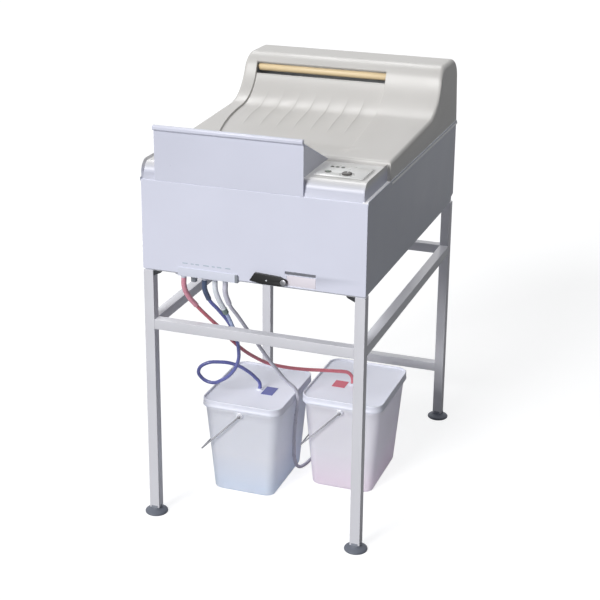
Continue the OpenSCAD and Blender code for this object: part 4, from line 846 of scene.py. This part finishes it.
class PROCESSOR_OT_cover(bpy.types.Operator):
    """Moulded top cover with the film recess and the exit slot"""
    bl_idname = "processor.cover"
    bl_label = "Top cover"

    def execute(self, context):
        s = context.scene.processor_cover
        low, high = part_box("top_cover")
        bm = self.shell(s, low, high)
        shade = moulded("cover_plastic", s.shade, roughness=0.42, grain=0.14, grain_size=1.0,
                        mottle=0.02)
        cover = piece("top_cover_moulding", bm, shade, body="top_cover", replaces=["top_cover"],
                      sharp=40)
        thick = cover.modifiers.new("wall", "SOLIDIFY")
        thick.thickness = s.wall
        thick.offset = -1.0
        thick.use_even_offset = False
        return {"FINISHED"}

    def stations(self, s, low, high):
        """(y, top height, slope angle, inset) from the front wall to the rear wall."""
        lip = low.z - 0.3 * MM + s.lip_height
        first = low.y + s.lip_radius
        foot = high.y - s.tower_foot
        slope = math.atan(s.slope_rise / (foot - first))
        rows = [(low.y + s.lip_radius * (1 - math.cos(a)), lip, slope,
                 s.lip_radius * (1 - math.sin(a)))
                for a in (math.radians(15 * k) for k in range(6))]
        rows += [(first + (foot - first) * k / 26, lip + s.slope_rise * k / 26, slope, 0.0)
                 for k in range(26)]
        hollow_y = foot - s.hollow_radius * math.sin(slope)
        hollow_z = lip + s.slope_rise + s.hollow_radius * math.cos(slope)
        brow_y = hollow_y + (s.hollow_radius + s.brow_radius) * math.sin(s.steep)
        brow_z = hollow_z - (s.hollow_radius + s.brow_radius) * math.cos(s.steep)
        top = brow_z + s.brow_radius
        self.slot_top = brow_z + 29.2 * MM
        self.slot_foot = self.slot_top - s.slot_height
        low_turn = math.acos((hollow_z - self.slot_foot) / s.hollow_radius)
        high_turn = math.acos((self.slot_top - brow_z) / s.brow_radius)
        turns = [slope + (low_turn - slope) * k / 24 for k in range(24)]
        turns += [low_turn + (s.steep - low_turn) * k / 5 for k in range(5)]
        rows += [(hollow_y + s.hollow_radius * math.sin(a), hollow_z - s.hollow_radius * math.cos(a),
                  a, 0.0) for a in turns]
        turns = [s.steep + (high_turn - s.steep) * k / 7 for k in range(7)]
        turns += [high_turn * (1 - k / 14) for k in range(15)]
        rows += [(brow_y - s.brow_radius * math.sin(a), brow_z + s.brow_radius * math.cos(a), a, 0.0)
                 for a in turns]
        rear = high.y - s.rear_radius
        rows += [(brow_y + (rear - brow_y) * k / 6, top, 0.0, 0.0) for k in range(1, 7)]
        rows += [(rear + s.rear_radius * math.sin(a), top - s.rear_radius * (1 - math.cos(a)), 0.0,
                  0.0) for a in (math.radians(7.5 * k) for k in range(1, 13))]
        return rows, top, foot

    def columns(self, s):
        """(fraction across the recess, offset, share of the recess depth, share of rib height)."""
        soft = 1.5 * MM
        cols = []
        for k in range(5):
            t = k / 4
            cols.append((0.0, soft * (2 * t - 1), t * t * (3 - 2 * t), 0.0))
        for i in range(1, s.ribs + 1):
            a = i / (s.ribs + 1)
            middle = (i - 0.5) / (s.ribs + 1)
            cols.append((middle, 0.0, 1.0, 0.0))
            for offset, share in ((-2.2, 0), (-1.5, 0.25), (-0.9, 0.9), (0, 1.0), (0.9, 0.9),
                                  (1.5, 0.25), (2.2, 0)):
                cols.append((a, offset * s.rib_width / 3, 1.0, share))
        cols.append(((s.ribs + 0.5) / (s.ribs + 1), 0.0, 1.0, 0.0))
        for k in range(5):
            t = 1 - k / 4
            cols.append((1.0, soft * (1 - 2 * t), t * t * (3 - 2 * t), 0.0))
        return cols

    def section(self, s, row, low, high, top, foot):
        """One cross-section, from the left wall's foot over the top to the right wall's foot."""
        y, height, turn, inset = row
        rise = min(1.0, max(0.0, (height - (top - 70 * MM)) / (70 * MM)))
        radius = s.edge_radius + (s.shoulder_radius - s.edge_radius) * rise * rise * (3 - 2 * rise)
        radius = max(radius - inset, 0.6 * MM)
        crown = height - inset
        half = SIDE_X * MM - 0.3 * inset - s.lean * (crown - low.z) / (top - low.z)
        foot_x = SIDE_X * MM - 0.3 * inset
        left = arc((-half + radius, crown - radius), radius, 180, 90, 9)
        right = arc((half - radius, crown - radius), radius, 90, 0, 9)
        drift = min(1.0, max(0.0, (foot + 40 * MM - y) / (320 * MM)))
        near = -s.film_shift - s.slot_width / 2 + 46 * MM * drift ** 2
        far = -s.film_shift + s.slot_width / 2 + 30 * MM * drift
        start = min(1.0, max(0.0, (y + 0.215) / 0.09))
        fade = start * start * (3 - 2 * start)
        if height > self.slot_top:
            fade *= max(0.0, 1 - (height - self.slot_top) / (3 * MM))
        ribbed = (min(1.0, max(0.0, (y + 0.03) / 0.06))
                  * min(1.0, max(0.0, (self.slot_foot - 34 * MM - height) / (26 * MM))))
        flat = [((-half + radius) + (near - 3 * MM + half - radius) * t, 0.0) for t in
                (0.25, 0.5, 0.75)]
        for share, offset, depth, rib in self.columns(s):
            flat.append((near + (far - near) * share + offset,
                         fade * (s.recess_depth * depth - s.rib_height * rib * ribbed)))
        flat += [((far + 3 * MM) + (half - radius - far - 3 * MM) * t, 0.0)
                 for t in (0.25, 0.5, 0.75)]
        points = [(-foot_x, y, low.z)] + [(x, y, z) for x, z in left]
        points += [(x, y + d * math.sin(turn), crown - d * math.cos(turn)) for x, d in flat]
        points += [(x, y, z) for x, z in right] + [(foot_x, y, low.z)]
        return points

    def shell(self, s, low, high):
        rows, top, foot = self.stations(s, low, high)
        rings = [self.section(s, row, low, high, top, foot) for row in rows]
        bm = bmesh.new()
        grid = [[bm.verts.new(p) for p in ring] for ring in rings]
        first = 1 + 10 + 3 + 2
        last = len(rings[0]) - 1 - 10 - 3 - 2 - 1
        for i, (one, two) in enumerate(zip(grid, grid[1:])):
            between = (rows[i][1] + rows[i + 1][1]) / 2
            for k in range(len(one) - 1):
                if (self.slot_foot < between < self.slot_top and first <= k < last
                        and rows[i][2] > 0):
                    continue
                bm.faces.new((one[k], one[k + 1], two[k + 1], two[k]))
        bm.faces.new(grid[-1])
        self.front_wall(bm, grid[0], s, low)
        bmesh.ops.recalc_face_normals(bm, faces=bm.faces)
        bm.normal_update()
        upward = sum(f.normal.z * f.calc_area() for f in bm.faces)
        if upward < 0:
            bmesh.ops.reverse_faces(bm, faces=bm.faces)
        return bm

    def front_wall(self, bm, ring, s, low):
        """The upright wall behind the console, with the slot that takes the film in."""
        near = -s.film_shift - s.slot_width / 2 + 4 * MM
        far = -s.film_shift + s.slot_width / 2 - 4 * MM
        hole = [bm.verts.new((x, low.y, z)) for x, z in ((near, 0.976), (far, 0.976), (far, 0.988),
                                                        (near, 0.988))]
        edges = [bm.edges.get((a, b)) or bm.edges.new((a, b))
                 for a, b in zip(ring, ring[1:] + ring[:1])]
        edges += [bm.edges.new((a, b)) for a, b in zip(hole, hole[1:] + hole[:1])]
        bmesh.ops.triangle_fill(bm, use_beauty=True, edges=edges)


class PROCESSOR_OT_tray(bpy.types.Operator):
    """Catch tray"""
    bl_idname = "processor.tray"
    bl_label = "Catch tray"

    def execute(self, context):
        s = context.scene.processor_cabinet
        white = moulded("tray_plastic", s.front, roughness=0.32, grain=0.10, grain_size=1.4,
                        mottle=0.012, coat=0.1)
        dressed("catch_tray", white, 1.1 * MM, 3)
        return {"FINISHED"}


class PROCESSOR_OT_rollers(bpy.types.Operator):
    """Feed and exit rollers"""
    bl_idname = "processor.rollers"
    bl_label = "Rollers"

    def execute(self, context):
        c = context.scene.processor_controls
        tan = moulded("tan_rubber", c.roller, roughness=0.45, mottle=0.06)
        dark = moulded("dark_rubber", linear(112, 112, 116), roughness=0.5, mottle=0.08)
        dressed("exit_roller_lower", tan, 0.8 * MM)
        for node in ("exit_roller_upper", "feed_roller_lower", "feed_roller_upper"):
            dressed(node, dark, 0.8 * MM)
        return {"FINISHED"}


class PROCESSOR_OT_inside(bpy.types.Operator):
    """Tank, racks, drums, dryer and drive"""
    bl_idname = "processor.inside"
    bl_label = "Inside"

    def execute(self, context):
        finishes = {
            "tank": moulded("tank_plastic", linear(96, 98, 104), roughness=0.4, mottle=0.06),
            "developer_rack": moulded("rack_plastic", linear(158, 160, 166), roughness=0.4),
            "developer_drum": moulded("drum_plastic", linear(190, 186, 178), roughness=0.4),
            "dryer_duct": brushed("duct_steel", linear(188, 190, 194), 0.35),
            "blower_housing": moulded("housing_plastic", linear(116, 118, 124), roughness=0.45),
            "blower_wheel": moulded("wheel_plastic", linear(40, 41, 44), roughness=0.4),
            "drive_motor": moulded("motor_paint", linear(96, 98, 104), roughness=0.3, coat=0.3),
            "drive_shaft": brushed("shaft_steel", linear(196, 196, 200), 0.22),
            "circulation_pumps": moulded("pump_plastic", linear(128, 138, 148), roughness=0.4),
            "control_board": moulded("board_plastic", linear(44, 110, 74), roughness=0.35),
        }
        finishes["fixer_rack"] = finishes["wash_rack"] = finishes["developer_rack"]
        finishes["fixer_drum"] = finishes["wash_drum"] = finishes["developer_drum"]
        for node, finish in finishes.items():
            dressed(node, finish, 0.6 * MM)
        return {"FINISHED"}


class PROCESSOR_OT_pails(bpy.types.Operator):
    """Pails, lids, tags, bails and grips"""
    bl_idname = "processor.pails"
    bl_label = "Pails"

    def execute(self, context):
        s = context.scene.processor_pails
        lid = moulded("lid_plastic", s.lid, roughness=0.4, grain=0.12, mottle=0.02, scatter=0.12)
        steel = brushed("bail_steel", linear(150, 150, 156), 0.42, metal=0.5)
        grip = moulded("grip_plastic", linear(60, 62, 66), roughness=0.45)
        for side, liquid in (("left", linear(214, 228, 252)), ("right", linear(240, 222, 242))):
            wall = filled(f"pail_{side}_plastic", s.wall, liquid, 0.12)
            self.pail(side, s, wall)
            self.lid(side, s, lid)
            dressed(f"bail_{side}", steel)
            dressed(f"bail_grip_{side}", grip, 0.8 * MM)
        self.tags(s)
        return {"FINISHED"}

    def pail(self, side, s, wall):
        low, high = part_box(f"pail_{side}")
        lid_low, lid_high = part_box(f"pail_lid_{side}")
        cx, cy = (lid_low.x + lid_high.x) / 2, (lid_low.y + lid_high.y) / 2
        base_w, base_d = 178 * MM, 245 * MM
        rim_w, rim_d = high.x - low.x, 280 * MM
        top = high.z
        levels = [(0.0, -8.0), (0.8, -4.0), (3.0, -1.2), (7.0, 0.0)]
        rings = []
        for z, out in levels:
            rings.append((z * MM, 2 * out * MM, 0.0))
        for k in range(1, 13):
            rings.append((7 * MM + (top - 26 * MM) * k / 12, 0.0, 0.0))
        rings += [(top - 17 * MM, 2.4 * MM, 0.0), (top - 15 * MM, 3.0 * MM, 0.0),
                  (top - 4 * MM, 0.0, 0.0), (top, 0.0, 0.0)]
        shape = []
        for z, out, _ in rings:
            t = z / top
            w, d = base_w + (rim_w - base_w) * t + out, base_d + (rim_d - base_d) * t + out
            r = 24 * MM + 6 * MM * t
            shape.append([(cx + x, cy + y, z) for x, y in rounded_square(w, d, r)])
        inner = [(top, 1.0), (top - 4 * MM, 1.0), (40 * MM, 1.0), (3.5 * MM, 1.0)]
        for z, _ in inner:
            t = z / top
            w = base_w + (rim_w - base_w) * t - 2 * s.thickness
            d = base_d + (rim_d - base_d) * t - 2 * s.thickness
            shape.append([(cx + x, cy + y, z) for x, y in rounded_square(w, d, 24 * MM)])
        body = piece(f"pail_{side}_body", lofted(shape), wall, replaces=[f"pail_{side}"],
                     sharp=50)
        for sign in (-1, 1):
            face = cy + sign * 138.5 * MM
            outline = [(9.0 * MM, -2 * MM), (9.0 * MM, 6.4 * MM), (8.2 * MM, 7.6 * MM),
                       (4.6 * MM, 7.8 * MM), (3.0 * MM, 7.0 * MM)]
            if sign < 0:
                outline = [(r, -h) for r, h in outline]
            piece(f"pail_{side}_ear_{'front' if sign < 0 else 'rear'}",
                  turned(outline, (cx, face, 0.245), "Y", 40), wall)
        return body

    def lid(self, side, s, finish):
        low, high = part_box(f"pail_lid_{side}")
        cx, cy = (low.x + high.x) / 2, (low.y + high.y) / 2
        width, depth, top, foot = high.x - low.x, high.y - low.y, high.z, low.z
        steps = [(-3.0, foot), (-0.6, foot), (0.0, foot + 0.8 * MM), (0.0, foot + 6 * MM),
                 (-0.9, foot + 7 * MM), (-0.9, top - 4.5 * MM), (-0.5, top - 2.4 * MM),
                 (-0.9, top - 0.9 * MM), (-2.0, top), (-3.6, top), (-4.6, top - 0.8 * MM),
                 (-5.2, top - 2.6 * MM), (-5.6, top - 5.0 * MM), (-6.6, top - 6 * MM),
                 (-7.4, top - 6 * MM), (-8.2, top - 6 * MM), (-60.0, top - 6 * MM),
                 (-80.0, top - 6 * MM)]
        rings = []
        for out, z in steps:
            out *= MM
            radius = max(4 * MM, 34 * MM + out)
            rings.append([(cx + x, cy + y, z) for x, y in
                          rounded_square(width + 2 * out, depth + 2 * out, radius)])
        piece(f"pail_{side}_lid", lofted(rings), finish, replaces=[f"pail_lid_{side}"],
              sharp=50)
        bx, by = {"left": (-0.094, -0.140), "right": (0.140, -0.014)}[side]
        outline = [(9 * MM, -2 * MM), (9 * MM, 3.6 * MM), (8 * MM, 4.6 * MM), (6.3 * MM, 4.6 * MM),
                   (6.2 * MM, 3.6 * MM)]
        piece(f"pail_{side}_boss", turned(outline, (bx, by, top - 6 * MM), segments=40), finish)

    def tags(self, s):
        low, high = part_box("lid_tags")
        for name, shade, x0, x1, y0, y1 in (("tag_blue", s.blue_tag, -81, -47, -168, -116),
                                            ("tag_red", s.red_tag, 88, 126, -48, -4)):
            finish = moulded(name, shade, roughness=0.3, mottle=0.08)
            tag = piece(f"lid_{name}", block((x0 * MM, y0 * MM, high.z - 0.5 * MM),
                                             (x1 * MM, y1 * MM, high.z + 0.3 * MM)), finish,
                        replaces=["lid_tags"])
            eased(tag, 0.3 * MM, 2)


class PROCESSOR_PT_panel(bpy.types.Panel):
    """Lists the builders of the film processor's pieces"""
    bl_idname = "PROCESSOR_PT_panel"
    bl_label = "Film processor"
    bl_space_type = "VIEW_3D"
    bl_region_type = "UI"
    bl_category = "Processor"

    def draw(self, context):
        for operator in OPERATORS:
            self.layout.operator(operator.bl_idname)


OPERATORS = (PROCESSOR_OT_stage, PROCESSOR_OT_hoses, PROCESSOR_OT_stand, PROCESSOR_OT_cabinet,
             PROCESSOR_OT_console, PROCESSOR_OT_cover, PROCESSOR_OT_tray, PROCESSOR_OT_rollers,
             PROCESSOR_OT_inside, PROCESSOR_OT_pails)
SETTINGS = {"processor_stage": StageSettings, "processor_hoses": HoseSettings,
            "processor_stand": StandSettings, "processor_cabinet": CabinetSettings,
            "processor_controls": ControlSettings, "processor_cover": CoverSettings,
            "processor_pails": PailSettings}


def register():
    for cls in (*SETTINGS.values(), *OPERATORS, PROCESSOR_PT_panel):
        bpy.utils.register_class(cls)
    for name, group in SETTINGS.items():
        setattr(bpy.types.Scene, name, PointerProperty(type=group))


def unregister():
    for name in SETTINGS:
        delattr(bpy.types.Scene, name)
    for cls in (PROCESSOR_PT_panel, *reversed(OPERATORS), *SETTINGS.values()):
        bpy.utils.unregister_class(cls)


def main():
    register()
    for operator in OPERATORS:
        group, name = operator.bl_idname.split(".")
        getattr(getattr(bpy.ops, group), name)()


if __name__ == "__main__":
    main()
